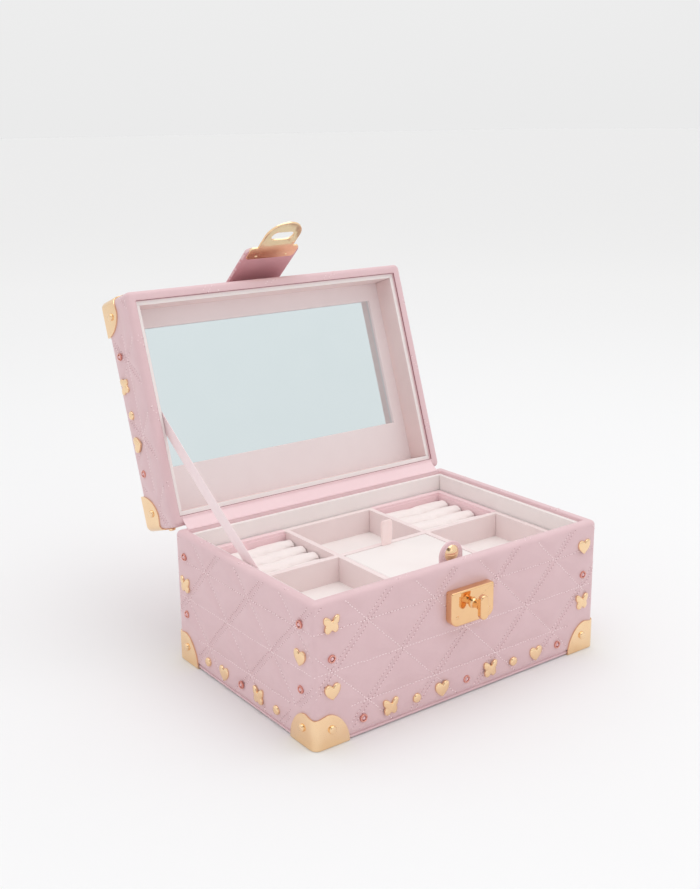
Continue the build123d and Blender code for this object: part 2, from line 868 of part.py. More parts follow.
catch_rivet_along = -(catch_start + catch_rivet_inset)
catch_back = Plane(catch_inner.origin, x_dir=-catch_inner.x_dir, z_dir=-catch_inner.z_dir)
catch_rivets = domes(
    [
        spot(catch_back, side * catch_rivet_spacing / 2, catch_rivet_along)
        for side in (-1, 1)
    ],
    catch_rivet_radius,
    catch_rivet_height,
)

# Tray: floor, walls and dividers with rounded padded tops
with BuildPart() as tray_floor:
    with BuildSketch(Plane.XY.offset(tray_bottom)):
        Rectangle(tray_width, tray_depth)
    extrude(amount=tray_floor_thickness)

tray_floor_plane = Plane.XY.offset(tray_floor_top)
tray_wall_height = tray_top - tray_floor_top
tray_long_walls = wall_pair(
    tray_floor_plane, tray_wall_height, (tray_width, tray_wall), (0, tray_depth - tray_wall), tray_edge
)
tray_side_walls = wall_pair(
    tray_floor_plane,
    tray_wall_height,
    (tray_wall, tray_inside_depth),
    (tray_width - tray_wall, 0),
    tray_edge,
    Axis.Y,
)

with BuildPart() as tray_long_divider:
    with BuildSketch(tray_floor_plane):
        with Locations((0, long_divider_back)):
            Rectangle(tray_inside_width, tray_wall)
    extrude(amount=tray_wall_height)
    fillet(tray_long_divider.edges().group_by(Axis.Z)[-1].filter_by(Axis.X), tray_edge)

back_bay_front = long_divider_back + tray_wall / 2
back_bay_depth = tray_inside_depth / 2 - back_bay_front
front_bay_back = long_divider_back - tray_wall / 2
front_bay_depth = tray_inside_depth / 2 + front_bay_back
with BuildPart() as tray_cross_dividers:
    with BuildSketch(tray_floor_plane):
        with Locations((0, back_bay_front + back_bay_depth / 2)):
            with GridLocations(cross_divider_spacing, 0, 2, 1):
                Rectangle(tray_wall, back_bay_depth)
        with Locations((0, front_bay_back - front_bay_depth / 2)):
            with GridLocations(cross_divider_spacing, 0, 2, 1):
                Rectangle(tray_wall, front_bay_depth)
    extrude(amount=tray_wall_height)
    fillet(tray_cross_dividers.edges().group_by(Axis.Z)[-1].filter_by(Axis.Y), tray_edge)

# Ring bays: a lining on the back and outer walls, and padded rolls that grip the rings between them
ring_bay_inner = cross_divider_spacing / 2 + tray_wall / 2
ring_bay_width = tray_inside_width / 2 - ring_bay_inner
ring_bay_middle = ring_bay_inner + ring_bay_width / 2
with BuildPart() as ring_bay_linings:
    with BuildSketch(tray_floor_plane):
        with Locations((ring_bay_middle, back_bay_front + back_bay_depth / 2)):
            Rectangle(ring_bay_width, back_bay_depth)
        with Locations((ring_bay_inner, back_bay_front)):
            Rectangle(
                ring_bay_width - bay_lining,
                back_bay_depth - bay_lining,
                align=(Align.MIN, Align.MIN),
                mode=Mode.SUBTRACT,
            )
    extrude(amount=tray_wall_height - tray_edge)
    mirror(about=Plane.YZ)

ring_roll_pitch = (back_bay_depth - bay_lining) / ring_roll_count
ring_roll_width = ring_roll_pitch - ring_roll_gap
ring_roll_spring = tray_top - ring_roll_drop - ring_roll_width / 2
ring_roll_length = ring_bay_width - bay_lining - 2 * ring_roll_gap


def ring_rolls(side):
    """The rolls of one ring bay, each with a round crown and softened ends."""
    start = side * (ring_bay_inner + ring_roll_gap)
    with BuildPart() as rolls:
        for n in range(ring_roll_count):
            middle = back_bay_front + (n + 0.5) * ring_roll_pitch
            with BuildSketch(Plane.YZ.offset(start)):
                with BuildLine():
                    Polyline(
                        (middle - ring_roll_width / 2, ring_roll_spring),
                        (middle - ring_roll_width / 2, tray_floor_top),
                        (middle + ring_roll_width / 2, tray_floor_top),
                        (middle + ring_roll_width / 2, ring_roll_spring),
                    )
                    ThreePointArc(
                        (middle + ring_roll_width / 2, ring_roll_spring),
                        (middle, tray_top - ring_roll_drop),
                        (middle - ring_roll_width / 2, ring_roll_spring),
                    )
                make_face()
            extrude(amount=side * ring_roll_length)
        end_edges = rolls.faces().filter_by(Axis.X).edges()
        fillet(end_edges.filter_by_position(Axis.Z, tray_floor_top + level_slack, tray_top), ring_roll_end)
    return rolls


ring_rolls_left = ring_rolls(-1)
ring_rolls_right = ring_rolls(1)

# Lift tab: an arch of leather on the inside of the tray's front wall, closed by a dome rivet
tab_back_y = -tray_inside_depth / 2 + tab_thickness
tab_back = Plane((0, tab_back_y, tray_floor_top), x_dir=(1, 0, 0), z_dir=(0, -1, 0))
with BuildPart() as tray_tab:
    with BuildSketch(tab_back):
        with Locations((0, (tab_height - tab_width / 2) / 2)):
            Rectangle(tab_width, tab_height - tab_width / 2)
        with Locations((0, tab_height - tab_width / 2)):
            Circle(tab_width / 2)
    extrude(amount=tab_thickness)

tab_rivet_up = tab_height - tab_width / 2 + tab_rivet_rise
tab_rivet_place = spot(tab_back, 0, tab_rivet_up).offset(tab_thickness)
tray_tab_rivet = domes([tab_rivet_place], tab_rivet_radius, tab_rivet_height)

# Compartment lid: a panel flush with the dividers that turns up about its round front edge
panel_bottom = tray_top - panel_thickness
panel_width = cross_divider_spacing - tray_wall - 2 * panel_clearance
panel_pivot_y = tab_back_y + panel_clearance + panel_thickness / 2
panel_pivot_z = tray_top - panel_thickness / 2
panel_back = front_bay_back - panel_clearance
with BuildPart() as compartment_lid:
    with BuildSketch(Plane.YZ.offset(-panel_width / 2)):
        with Locations((panel_pivot_y, panel_pivot_z)):
            Circle(panel_thickness / 2)
            Rectangle(panel_back - panel_pivot_y, panel_thickness, align=(Align.MIN, Align.CENTER))
    extrude(amount=panel_width)

compartment_ledges = wall_pair(
    Plane((0, front_bay_back - front_bay_depth / 2, panel_bottom - ledge_height)),
    ledge_height,
    (ledge_width, front_bay_depth),
    (cross_divider_spacing - tray_wall - ledge_width, 0),
)

pull_straight = pull_height - pull_thickness / 2
with BuildPart() as compartment_pull:
    with BuildSketch(Plane.YZ.offset(-pull_width / 2)):
        with Locations((panel_back - pull_thickness / 2, tray_top)):
            Rectangle(pull_thickness, pull_straight, align=(Align.CENTER, Align.MIN))
        with Locations((panel_back - pull_thickness / 2, tray_top + pull_straight)):
            Circle(pull_thickness / 2)
    extrude(amount=pull_width)

pieces = {
    "base_bottom_cover": base_bottom_cover,
    "base_bottom_board": base_bottom_board,
    "base_long_boards": base_long_boards,
    "base_side_boards": base_side_boards,
    "base_cover": base_cover,
    "base_long_liners": base_long_liners,
    "base_side_liners": base_side_liners,
    "base_floor_pad": base_floor_pad,
    "tray_supports": tray_supports,
    "base_guards": base_guards,
    "base_guard_rivets": base_guard_rivets,
    "base_hearts": base_hearts,
    "base_butterflies": base_butterflies,
    "base_dots": base_dots,
    "base_crystal_cups": base_crystal_cups,
    "base_crystals": base_crystals,
    "lock_plate": lock_plate,
    "lock_rivets": lock_rivets,
    "lock_knob": lock_knob,
    "base_hinge_leaves": base_hinge_leaves,
    "lid_hinge_leaves": lid_hinge_leaves,
    "hinge_pins": hinge_pins,
    "base_hinge_screws": base_hinge_screws,
    "lid_hinge_screws": lid_hinge_screws,
    "hinge_strip": hinge_strip,
    "ribbon_stay": ribbon_stay,
    "lid_top_board": lid_top_board,
    "lid_long_boards": lid_long_boards,
    "lid_side_boards": lid_side_boards,
    "lid_cover": lid_cover,
    "lid_long_liners": lid_long_liners,
    "lid_side_liners": lid_side_liners,
    "mirror_board": mirror_board,
    "mirror": lid_mirror,
    "lid_guards": lid_guards,
    "lid_guard_rivets": lid_guard_rivets,
    "lid_hearts": lid_hearts,
    "lid_butterflies": lid_butterflies,
    "lid_dots": lid_dots,
    "lid_crystal_cups": lid_crystal_cups,
    "lid_crystals": lid_crystals,
    "strap_root": strap_root,
    "strap_flap": strap_flap,
    "catch_plate": catch_plate,
    "catch_rivets": catch_rivets,
    "tray_floor": tray_floor,
    "tray_long_walls": tray_long_walls,
    "tray_side_walls": tray_side_walls,
    "tray_long_divider": tray_long_divider,
    "tray_cross_dividers": tray_cross_dividers,
    "ring_bay_linings": ring_bay_linings,
    "ring_rolls_left": ring_rolls_left,
    "ring_rolls_right": ring_rolls_right,
    "tray_tab": tray_tab,
    "tray_tab_rivet": tray_tab_rivet,
    "compartment_ledges": compartment_ledges,
    "compartment_lid": compartment_lid,
    "compartment_pull": compartment_pull,
}
for name, piece in pieces.items():
    piece.part.label = name
    export_step(piece.part, f"parts/{name}.step")
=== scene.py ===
"""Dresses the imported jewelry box: quilted covers, velvet, gold fittings, ribbons and a plain studio."""
import json
import logging
import math
from contextlib import contextmanager
from dataclasses import dataclass, field
from enum import Enum
from typing import Callable, ClassVar, Iterable, Iterator, Optional, Sequence, Union

import bpy
import numpy as np
from mathutils import Matrix, Vector


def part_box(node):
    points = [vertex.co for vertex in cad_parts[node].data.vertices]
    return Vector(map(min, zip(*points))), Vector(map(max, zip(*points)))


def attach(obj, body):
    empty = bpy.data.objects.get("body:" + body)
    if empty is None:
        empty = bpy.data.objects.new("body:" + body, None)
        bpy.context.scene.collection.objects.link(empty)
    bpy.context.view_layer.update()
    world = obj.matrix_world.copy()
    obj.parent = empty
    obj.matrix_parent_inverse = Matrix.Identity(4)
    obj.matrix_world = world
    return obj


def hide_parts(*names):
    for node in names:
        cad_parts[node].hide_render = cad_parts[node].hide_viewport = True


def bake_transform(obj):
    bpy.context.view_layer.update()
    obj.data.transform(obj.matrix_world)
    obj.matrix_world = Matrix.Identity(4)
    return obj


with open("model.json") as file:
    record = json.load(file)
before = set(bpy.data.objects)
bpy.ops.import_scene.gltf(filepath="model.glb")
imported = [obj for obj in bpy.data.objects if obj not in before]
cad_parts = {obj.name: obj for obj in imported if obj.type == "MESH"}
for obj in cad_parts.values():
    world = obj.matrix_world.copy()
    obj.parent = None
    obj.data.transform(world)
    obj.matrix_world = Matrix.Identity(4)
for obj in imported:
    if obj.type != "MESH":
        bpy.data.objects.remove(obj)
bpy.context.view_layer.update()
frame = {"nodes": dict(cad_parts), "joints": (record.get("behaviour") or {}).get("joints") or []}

log = logging.getLogger("jewelry_box")
MM = 0.001
TOUCH = 0.01 * MM
SAME_POINT = 0.001 * MM
MERGE = 0.002 * MM
BLUNT = 0.98
ALONG = 0.9
CARD_CORNER = 0.5 * MM
SMOOTH_ANGLE = math.radians(38)
ACROSS = Vector((1, 0, 0))
UP = Vector((0, 0, 1))

Colour = tuple[float, float, float, float]
Operand = Union["Wire", float]
Value = Union["Wire", float, Sequence[float]]
Piece = bpy.types.Object
Test = Callable[[Vector, Vector], bool]
Spots = Sequence[tuple[float, float]]


def tone(red: int, green: int, blue: int) -> Colour:
    """Turns a colour given in screen values from 0 to 255 into the linear values that shaders take."""
    return tuple(((c / 255 + 0.055) / 1.055) ** 2.4 for c in (red, green, blue)) + (1.0,)


def math_node(operation: str, turned: bool = False) -> Callable[["Wire", Operand], "Wire"]:
    """An operator that joins an output and another operand, in turned order if wanted, with a Math node."""

    def operator(wire: "Wire", other: Operand) -> "Wire":
        """Adds the node."""
        first, second = (other, wire) if turned else (wire, other)
        return wire.board.node("ShaderNodeMath", {"operation": operation}, {0: first, 1: second})

    return operator


@dataclass
class Wire:
    """A shader output that arithmetic joins to numbers and other outputs."""

    board: "NodeBoard"
    socket: bpy.types.NodeSocket

    __add__ = __radd__ = math_node("ADD")
    __sub__ = math_node("SUBTRACT")
    __rsub__ = math_node("SUBTRACT", turned=True)
    __mul__ = __rmul__ = math_node("MULTIPLY")
    __pow__ = math_node("POWER")


class NodeBoard:
    """The nodes of a material or of the world, which end in its surface."""

    def __init__(self, owner: bpy.types.ID, surface: str = "Principled BSDF") -> None:
        """Turns on the owner's nodes and finds its surface."""
        owner.use_nodes = True
        self.owner = owner
        self.tree = owner.node_tree
        self.surface = self.tree.nodes[surface]

    def feed(self, socket: bpy.types.NodeSocket, value: Value) -> None:
        """Links an output to a socket, or sets the socket's own value."""
        if isinstance(value, Wire):
            self.tree.links.new(value.socket, socket)
        else:
            socket.default_value = value

    def node(
        self,
        kind: str,
        settings: Optional[dict] = None,
        inputs: Optional[dict] = None,
        output: Union[int, str] = 0,
    ) -> Wire:
        """Adds a node.

        Args:
            kind: The node's type.
            settings: Its options, set first.
            inputs: Values or outputs for its sockets, by name or number.
            output: Which of its outputs is wanted.

        Returns:
            The wanted output.
        """
        made = self.tree.nodes.new(kind)
        for key, value in (settings or {}).items():
            setattr(made, key, value)
        for key, value in (inputs or {}).items():
            self.feed(made.inputs[key], value)
        return Wire(self, made.outputs[output])

    def ramp(self, factor: Wire, stops: Sequence[tuple[float, Colour]]) -> Wire:
        """A colour that changes between two stops."""
        made = self.node("ShaderNodeValToRGB", None, {0: factor})
        for element, (place, colour) in zip(made.socket.node.color_ramp.elements, stops):
            element.position = place
            element.color = colour
        return made

    def place(self) -> Wire:
        """The point on the object that is shaded."""
        return self.node("ShaderNodeTexCoord", output="Object")

    def noise(self, size: float, detail: float) -> Wire:
        """Soft noise with patches of a size in metres."""
        sockets = {"Vector": self.place(), "Scale": 1 / size, "Detail": detail}
        return self.node("ShaderNodeTexNoise", None, sockets)

    def between(self, factor: Operand, first: Colour, second: Colour) -> Wire:
        """A colour between two others."""
        return self.node("ShaderNodeMix", {"data_type": "RGBA"}, {0: factor, 6: first, 7: second}, 2)

    def relief(self, height: Wire, depth: float, strength: float) -> Wire:
        """A normal from a height, with its depth in metres."""
        return self.node("ShaderNodeBump", None, {"Height": height, "Distance": depth, "Strength": strength})

    def surface_of(self, **sockets: Value) -> None:
        """Feeds the surface's sockets, with spaces in their names written as underscores."""
        for key, value in sockets.items():
            self.feed(self.surface.inputs[key.replace("_", " ")], value)


class Slot(Enum):
    """The record's material slots."""

    LEATHER = "pink leather"
    VELVET = "pale velvet"
    SATIN = "satin ribbon"
    GOLD = "gold"
    CRYSTAL = "pink crystal"


@dataclass(frozen=True)
class Coating:
    """A finish that varies between a light and a dark tone, with the slot of the pieces that have it."""

    slot: ClassVar[Optional[Slot]] = None
    name: str
    light: Colour
    dark: Colour

    def make(self) -> bpy.types.Material:
        """Builds the material."""
        board = NodeBoard(bpy.data.materials.new(self.name))
        self.paint(board)
        return board.owner

    def paint(self, board: NodeBoard) -> None:
        """Feeds the surface, in a way of each finish's own."""
        raise NotImplementedError


@dataclass(frozen=True)
class Leather(Coating):
    """Soft imitation leather with a fine pebble grain."""

    slot = Slot.LEATHER
    grain: float = 0.8 * MM
    patch: float = 18 * MM
    roughness: float = 0.4

    def paint(self, board: NodeBoard) -> None:
        """Pebbles and creases in soft patches."""
        cells = {"Vector": board.place(), "Scale": 1 / self.grain}
        pebbles = board.node("ShaderNodeTexVoronoi", {"feature": "SMOOTH_F1"}, cells)
        creases = board.noise(2.4 * self.grain, 4)
        patches = board.noise(self.patch, 3)
        board.surface_of(
            Base_Color=board.between(patches * 0.7 + creases * 0.3, self.dark, self.light),
            Roughness=self.roughness + 0.16 * creases - 0.06 * patches,
            Normal=board.relief(creases * 0.5 - pebbles, 0.12 * MM, 0.5),
            Specular_IOR_Level=0.42,
            Sheen_Weight=0.12,
            Sheen_Roughness=0.5,
        )


@dataclass(frozen=True)
class Velvet(Coating):
    """Short velvet pile that is brushed a little unevenly."""

    slot = Slot.VELVET
    pile: float = 0.45 * MM
    brushing: float = 22 * MM

    def paint(self, board: NodeBoard) -> None:
        """Fine pile, lighter where it is brushed."""
        pile = board.noise(self.pile, 3)
        brushed = board.noise(self.brushing, 2)
        board.surface_of(
            Base_Color=board.between(pile * 0.45 + brushed * 0.55, self.dark, self.light),
            Roughness=0.86 + 0.12 * pile,
            Normal=board.relief(pile + 0.4 * brushed, 0.25 * MM, 0.45),
            Specular_IOR_Level=0.2,
            Sheen_Weight=0.55,
            Sheen_Roughness=0.35,
            Sheen_Tint=self.light,
        )


@dataclass(frozen=True)
class Satin(Coating):
    """Smooth ribbon with its fine cross ribs."""

    slot = Slot.SATIN
    rib: float = 0.35 * MM
    fold: float = 6 * MM

    def paint(self, board: NodeBoard) -> None:
        """Ribs over soft folds."""
        sockets = {"Vector": board.place(), "Scale": 0.16 / self.rib, "Distortion": 0.4}
        ribs = board.node("ShaderNodeTexWave", {"bands_direction": "Z"}, sockets)
        folds = board.noise(self.fold, 2)
        board.surface_of(
            Base_Color=board.between(folds * 0.7 + ribs * 0.3, self.dark, self.light),
            Roughness=0.36 + 0.14 * folds,
            Normal=board.relief(ribs, 0.05 * MM, 0.35),
            Sheen_Weight=0.3,
        )


@dataclass(frozen=True)
class Gold(Coating):
    """Polished warm plating with faint handling marks."""

    slot = Slot.GOLD
    roughness: float = 0.09
    smear: float = 9 * MM
    scuff: float = 0.7 * MM

    def paint(self, board: NodeBoard) -> None:
        """Smears and fine scuffs."""
        smears = board.noise(self.smear, 3)
        scuffs = board.noise(self.scuff, 4)
        board.surface_of(
            Base_Color=board.between(smears, self.dark, self.light),
            Roughness=self.roughness + 0.05 * smears + 0.03 * scuffs,
            Normal=board.relief(smears + 0.15 * scuffs, 0.08 * MM, 0.08),
            Metallic=1.0,
        )


@dataclass(frozen=True)
class Thread(Coating):
    """Twisted thread with a slight glitter, and a faint painted glow."""

    slot = Slot.LEATHER

    def paint(self, board: NodeBoard) -> None:
        """Glitter that is smoother and brighter than the thread, whose brightest specks glow faintly as
        painted glints.
        """
        glitter = board.noise(0.5 * MM, 1)
        board.surface_of(
            Base_Color=board.between(glitter, self.dark, self.light),
            Roughness=0.55 - 0.4 * glitter,
            Normal=board.relief(glitter, 0.1 * MM, 0.5),
            Metallic=0.1,
            # Painted glints: the thread's brightest glitter specks emit a faint light of their own, though
            # the thread is no lamp.
            Emission_Color=board.between(glitter**4.0, self.dark, self.light),
            Emission_Strength=0.06,
        )


@dataclass(frozen=True)
class Crystal(Coating):
    """Cut stone, clear pink and very smooth."""

    slot = Slot.CRYSTAL

    def paint(self, board: NodeBoard) -> None:
        """Depth in a clear stone."""
        depth = board.noise(1.6 * MM, 1)
        board.surface_of(
            Base_Color=board.between(depth, self.dark, self.light),
            Roughness=0.03 + 0.05 * depth,
            IOR=1.7,
            Transmission_Weight=0.1,
            Coat_Weight=0.6,
        )


@dataclass(frozen=True)
class SilveredGlass(Coating):
    """Mirror glass with a cool tint and a trace of haze."""

    def paint(self, board: NodeBoard) -> None:
        """Haze over silver."""
        haze = board.noise(35 * MM, 2)
        tint = board.between(haze, self.dark, self.light)
        board.surface_of(Base_Color=tint, Roughness=0.012 + 0.02 * haze, Metallic=1.0)


@dataclass(frozen=True)
class Fibreboard(Coating):
    """Pressed board with short fibres."""

    def paint(self, board: NodeBoard) -> None:
        """Fibres that stand out a little."""
        fibres = board.noise(1.2 * MM, 5)
        tint = board.between(fibres, self.dark, self.light)
        board.surface_of(
            Base_Color=tint, Roughness=0.8 + 0.1 * fibres, Normal=board.relief(fibres, 0.2 * MM, 0.4)
        )


class Finish(Enum):
    """The box's finishes."""

    QUILTED = Leather("quilted_leather", tone(231, 199, 203), tone(220, 186, 190))
    SMOOTH = Leather("smooth_leather", tone(236, 204, 208), tone(227, 192, 197), roughness=0.36)
    STRAP = Leather("strap_leather", tone(216, 164, 170), tone(205, 149, 156), roughness=0.42)
    # Painted shadow: a dark rose leather on the lid's lip, standing for the shade in the gap between the lip
    # and the liner.
    SEAM = Leather("seam_shadow_leather", tone(158, 106, 112), tone(140, 90, 98))
    # Painted shade: small dark dots that stand for the shade in the needle holes between stitches.
    NEEDLE = Leather("needle_hole_shade", tone(182, 136, 142), tone(166, 120, 126))
    BAND = Leather("band_leather", tone(247, 219, 223), tone(240, 208, 212), roughness=0.34)
    VELVET = Velvet("pale_velvet", tone(249, 244, 242), tone(242, 232, 230))
    # Painted shade: a pinker, darker copy of the pale velvet for the tray's walls and dividers, standing for
    # the shade and pink bounce inside the compartments.
    SHADED_WALLS = Velvet("tray_wall_shade_velvet", tone(246, 232, 231), tone(238, 220, 219))
    # Painted shade: a darker pinker copy of the pale velvet for the lid's liner walls, whose rim-facing edges
    # keep the pale velvet as painted light.
    SHADED_LINER = Velvet("shaded_liner_velvet", tone(242, 223, 221), tone(233, 211, 209))
    LID_VELVET = Velvet("lid_velvet", tone(241, 230, 230), tone(233, 218, 218))
    ROLLS = Velvet("ring_roll_velvet", tone(250, 242, 240), tone(245, 232, 230))
    SATIN = Satin("satin_ribbon", tone(251, 234, 235), tone(245, 220, 223))
    PULL = Satin("pull_satin", tone(255, 238, 235), tone(252, 226, 224))
    GOLD = Gold("warm_gold", tone(252, 223, 184), tone(246, 208, 164))
    POLISHED = Gold("polished_gold", tone(247, 207, 160), tone(240, 194, 146), roughness=0.02)
    CUPS = Gold("rose_gold", tone(236, 178, 163), tone(221, 154, 142))
    THREAD = Thread("glitter_thread", tone(253, 237, 237), tone(238, 211, 215))
    CRYSTAL = Crystal("pink_crystal", tone(255, 222, 226), tone(244, 186, 196))
    MIRROR = SilveredGlass("mirror_glass", tone(228, 238, 240), tone(224, 235, 237))
    BOARD = Fibreboard("fibreboard", tone(196, 172, 140), tone(168, 142, 110))


class Body(Enum):
    """The bodies that pieces ride on."""

    BASE = "base"
    LID = "lid"
    STRAP = "strap"
    KNOB = "knob"
    TRAY = "tray"
    COMPARTMENT = "compartment"


materials: dict[Finish, bpy.types.Material] = {}


def take(piece: Piece) -> None:
    """Selects one object alone and makes it active."""
    bpy.ops.object.select_all(action="DESELECT")
    piece.select_set(True)
    bpy.context.view_layer.objects.active = piece


def settle(piece: Piece, matrix: Optional[Matrix] = None) -> Piece:
    """Moves an object by a matrix, if given, and puts its place into its mesh."""
    if matrix is not None:
        piece.matrix_world = matrix @ piece.matrix_world
    take(piece)
    bpy.ops.object.transform_apply(location=True, rotation=True, scale=True)
    return piece


def smooth(piece: Piece, angle: float = SMOOTH_ANGLE) -> Piece:
    """Shades an object smooth except at edges sharper than an angle."""
    take(piece)
    bpy.ops.object.shade_smooth_by_angle(angle=angle)
    return piece


@contextmanager
def editing(piece: Piece) -> Iterator[None]:
    """Keeps one object in edit mode for a block of code."""
    take(piece)
    bpy.ops.object.mode_set(mode="EDIT")
    yield
    bpy.ops.object.mode_set(mode="OBJECT")


def outward(piece: Piece) -> Piece:
    """Merges doubled points and turns all faces outwards."""
    with editing(piece):
        bpy.ops.mesh.select_all(action="SELECT")
        bpy.ops.mesh.remove_doubles(threshold=MERGE)
        bpy.ops.mesh.normals_make_consistent(inside=False)
    return piece


def pick(piece: Piece, kind: str, test: Test) -> None:
    """Selects some of an object's edges or faces.

    Args:
        piece: The object.
        kind: EDGE or FACE.
        test: Takes an edge's middle and direction, or a face's middle and normal.
    """
    with editing(piece):
        bpy.ops.mesh.select_mode(type=kind)
        bpy.ops.mesh.select_all(action="DESELECT")
    points = piece.data.vertices
    for face in piece.data.polygons if kind == "FACE" else ():
        face.select = test(face.center, face.normal)
    for edge in piece.data.edges if kind == "EDGE" else ():
        first, second = (points[n].co for n in edge.vertices)
        edge.select = test((first + second) / 2, (second - first).normalized())


def bevel(piece: Piece, test: Test, radius: float, steps: int) -> None:
    """Rounds the edges that pass a test."""
    pick(piece, "EDGE", test)
    with editing(piece):
        bpy.ops.mesh.bevel(offset=radius, segments=steps, affect="EDGES", clamp_overlap=True)


def draw_up(piece: Piece, test: Test, steps: Spots) -> None:
    """Draws the faces that pass a test up step by step, and each time in to a share of their size."""
    pick(piece, "FACE", test)
    with editing(piece):
        for share, rise in steps:
            bpy.ops.mesh.extrude_region_move(TRANSFORM_OT_translate={"value": (0, 0, rise)})
            bpy.ops.transform.resize(value=(share, share, 1), center_override=(0, 0, 0))


def primitive(kind: str, **options: object) -> Piece:
    """Adds one of the basic mesh shapes."""
    bpy.ops.object.select_all(action="DESELECT")
    getattr(bpy.ops.mesh, f"primitive_{kind}_add")(**options)
    return bpy.context.object


def shape_box(name: str, low: Vector, high: Vector) -> Piece:
    """Adds a box between two corners."""
    piece = primitive("cube", size=1, location=(low + high) / 2)
    piece.name = name
    piece.scale = high - low
    return settle(piece)


def join(name: str, pieces: Sequence[Piece]) -> Piece:
    """Joins objects into one."""
    bpy.ops.object.select_all(action="DESELECT")
    for piece in pieces:
        piece.select_set(True)
    bpy.context.view_layer.objects.active = pieces[0]
    if len(pieces) > 1:
        bpy.ops.object.join()
    pieces[0].name = name
    return pieces[0]


def combine(piece: Piece, other: Piece, operation: str) -> Piece:
    """Unites a piece with another, or cuts the other out of it, and removes the other."""
    take(piece)
    meeting = piece.modifiers.new("meeting", "BOOLEAN")
    meeting.operation = operation
    meeting.object = other
    meeting.solver = "EXACT"
    bpy.ops.object.modifier_apply(modifier=meeting.name)
    bpy.data.objects.remove(other)
    return piece


def new_mesh(name: str, points: np.ndarray, faces: Iterable[Sequence[int]]) -> Piece:
    """Makes an object of points and faces."""
    mesh = bpy.data.meshes.new(name)
    mesh.from_pydata(points.tolist(), [], list(faces))
    mesh.validate()
    piece = bpy.data.objects.new(name, mesh)
    bpy.context.scene.collection.objects.link(piece)
    return piece


def ring_faces(rings: int, count: int, loop: bool) -> list[tuple[int, ...]]:
    """Faces between neighbouring rings of as many points, and between the last and the first in a loop."""
    faces = []
    for n in range(rings if loop else rings - 1):
        here, there = n * count, (n + 1) % rings * count
        for k in range(count):
            after = (k + 1) % count
            faces.append((here + k, here + after, there + after, there + k))
    return faces


def strip(
    name: str,
    path: np.ndarray,
    across: Vector,
    widths: np.ndarray,
    thickness: float,
    cuts: int,
    crown: float = 0.0,
) -> Piece:
    """Makes a closed strip of leather or ribbon along a path.

    Args:
        name: The piece's name.
        path: Points of the strip's middle line, a row each.
        across: The direction of its width, square to the path.
        widths: The full width at each point.
        thickness: Its thickness, with round edges.
        cuts: Points across each face.
        crown: How much the middle stands proud on both faces.

    Returns:
        The strip.
    """
    side = np.array(across)
    normal = np.cross(side, tangents(path))
    half = thickness / 2
    shares = np.linspace(-1, 1, cuts)
    section = [(share, -1 - crown * (1 - share**4) / half) for share in shares]
    section += [(1, math.sin(turn)) for turn in np.linspace(-math.pi / 3, math.pi / 3, 3)]
    section += [(-share, 1 + crown * (1 - share**4) / half) for share in shares]
    section += [(-1, math.sin(turn)) for turn in np.linspace(math.pi / 3, -math.pi / 3, 3)]
    rings = []
    for place, out, width in zip(path, normal, widths):
        for share, height in section:
            edge = share * (width / 2 - half)
            if abs(share) == 1 and abs(height) < 1:
                edge += share * half * math.sqrt(1 - height**2)
            rings.append(place + side * edge + out * half * height)
    count = len(section)
    faces = ring_faces(len(path), count, False)
    faces.append(tuple(range(count)))
    faces.append(tuple(range((len(path) - 1) * count, len(path) * count)))
    return smooth(outward(new_mesh(name, np.array(rings), faces)))


def curve_through(points: Sequence[Sequence[float]], steps: int) -> np.ndarray:
    """A smooth line through points, with as many steps in each span."""
    knots = np.array(points, float)
    padded = np.vstack((2 * knots[0] - knots[1], knots, 2 * knots[-1] - knots[-2]))
    line = []
    for a, b, c, d in zip(padded, padded[1:], padded[2:], padded[3:]):
        for t in np.arange(steps) / steps:
            eased = 2 * b + (c - a) * t + (2 * a - 5 * b + 4 * c - d) * t**2
            line.append(0.5 * (eased + (3 * b - a - 3 * c + d) * t**3))
    return np.array(line + [knots[-1]])


def steps_of(line: np.ndarray) -> np.ndarray:
    """The length of each step of a line."""
    return np.linalg.norm(np.diff(line, axis=0), axis=1)


def run_along(line: np.ndarray) -> np.ndarray:
    """How far along a line each of its points lies."""
    return np.concatenate(((0,), np.cumsum(steps_of(line))))


def tangents(line: np.ndarray) -> np.ndarray:
    """The direction of a line at each of its points."""
    along = np.gradient(line, axis=0)
    return along / np.linalg.norm(along, axis=1)[:, None]


def evenly(line: np.ndarray, step: float) -> np.ndarray:
    """Points evenly along a line."""
    run = run_along(line)
    places = np.linspace(0, run[-1], max(3, round(run[-1] / step) + 1))
    return np.column_stack([np.interp(places, run, column) for column in line.T])


def circle(radius: float, count: int) -> np.ndarray:
    """Points around a circle."""
    turns = np.linspace(0, 2 * math.pi, count + 1)[:-1]
    return np.column_stack((np.cos(turns), np.sin(turns))) * radius


def round_ends(path: np.ndarray, width: float, first: float, last: float) -> np.ndarray:
    """Widths along a path whose two ends have rounded corners."""
    run = run_along(path)
    widths = np.full(len(path), width)
    for radius, gap in ((first, run), (last, run[-1] - run)):
        near = np.clip(radius - gap, 0, radius)
        widths -= 2 * (radius - np.sqrt(radius**2 - near**2 * BLUNT))
    return widths


def scatter(name: str, template: Piece, places: Sequence[Matrix]) -> Piece:
    """Copies a template to many places as one object, and removes the template."""
    points = np.array([v.co for v in template.data.vertices])
    faces = [tuple(face.vertices) for face in template.data.polygons]
    bpy.data.objects.remove(template)
    spread = [points @ np.array(place.to_3x3()).T + np.array(place.translation) for place in places]
    shifted = [tuple(i + n * len(points) for i in face) for n in range(len(places)) for face in faces]
    return smooth(new_mesh(name, np.concatenate(spread), shifted))


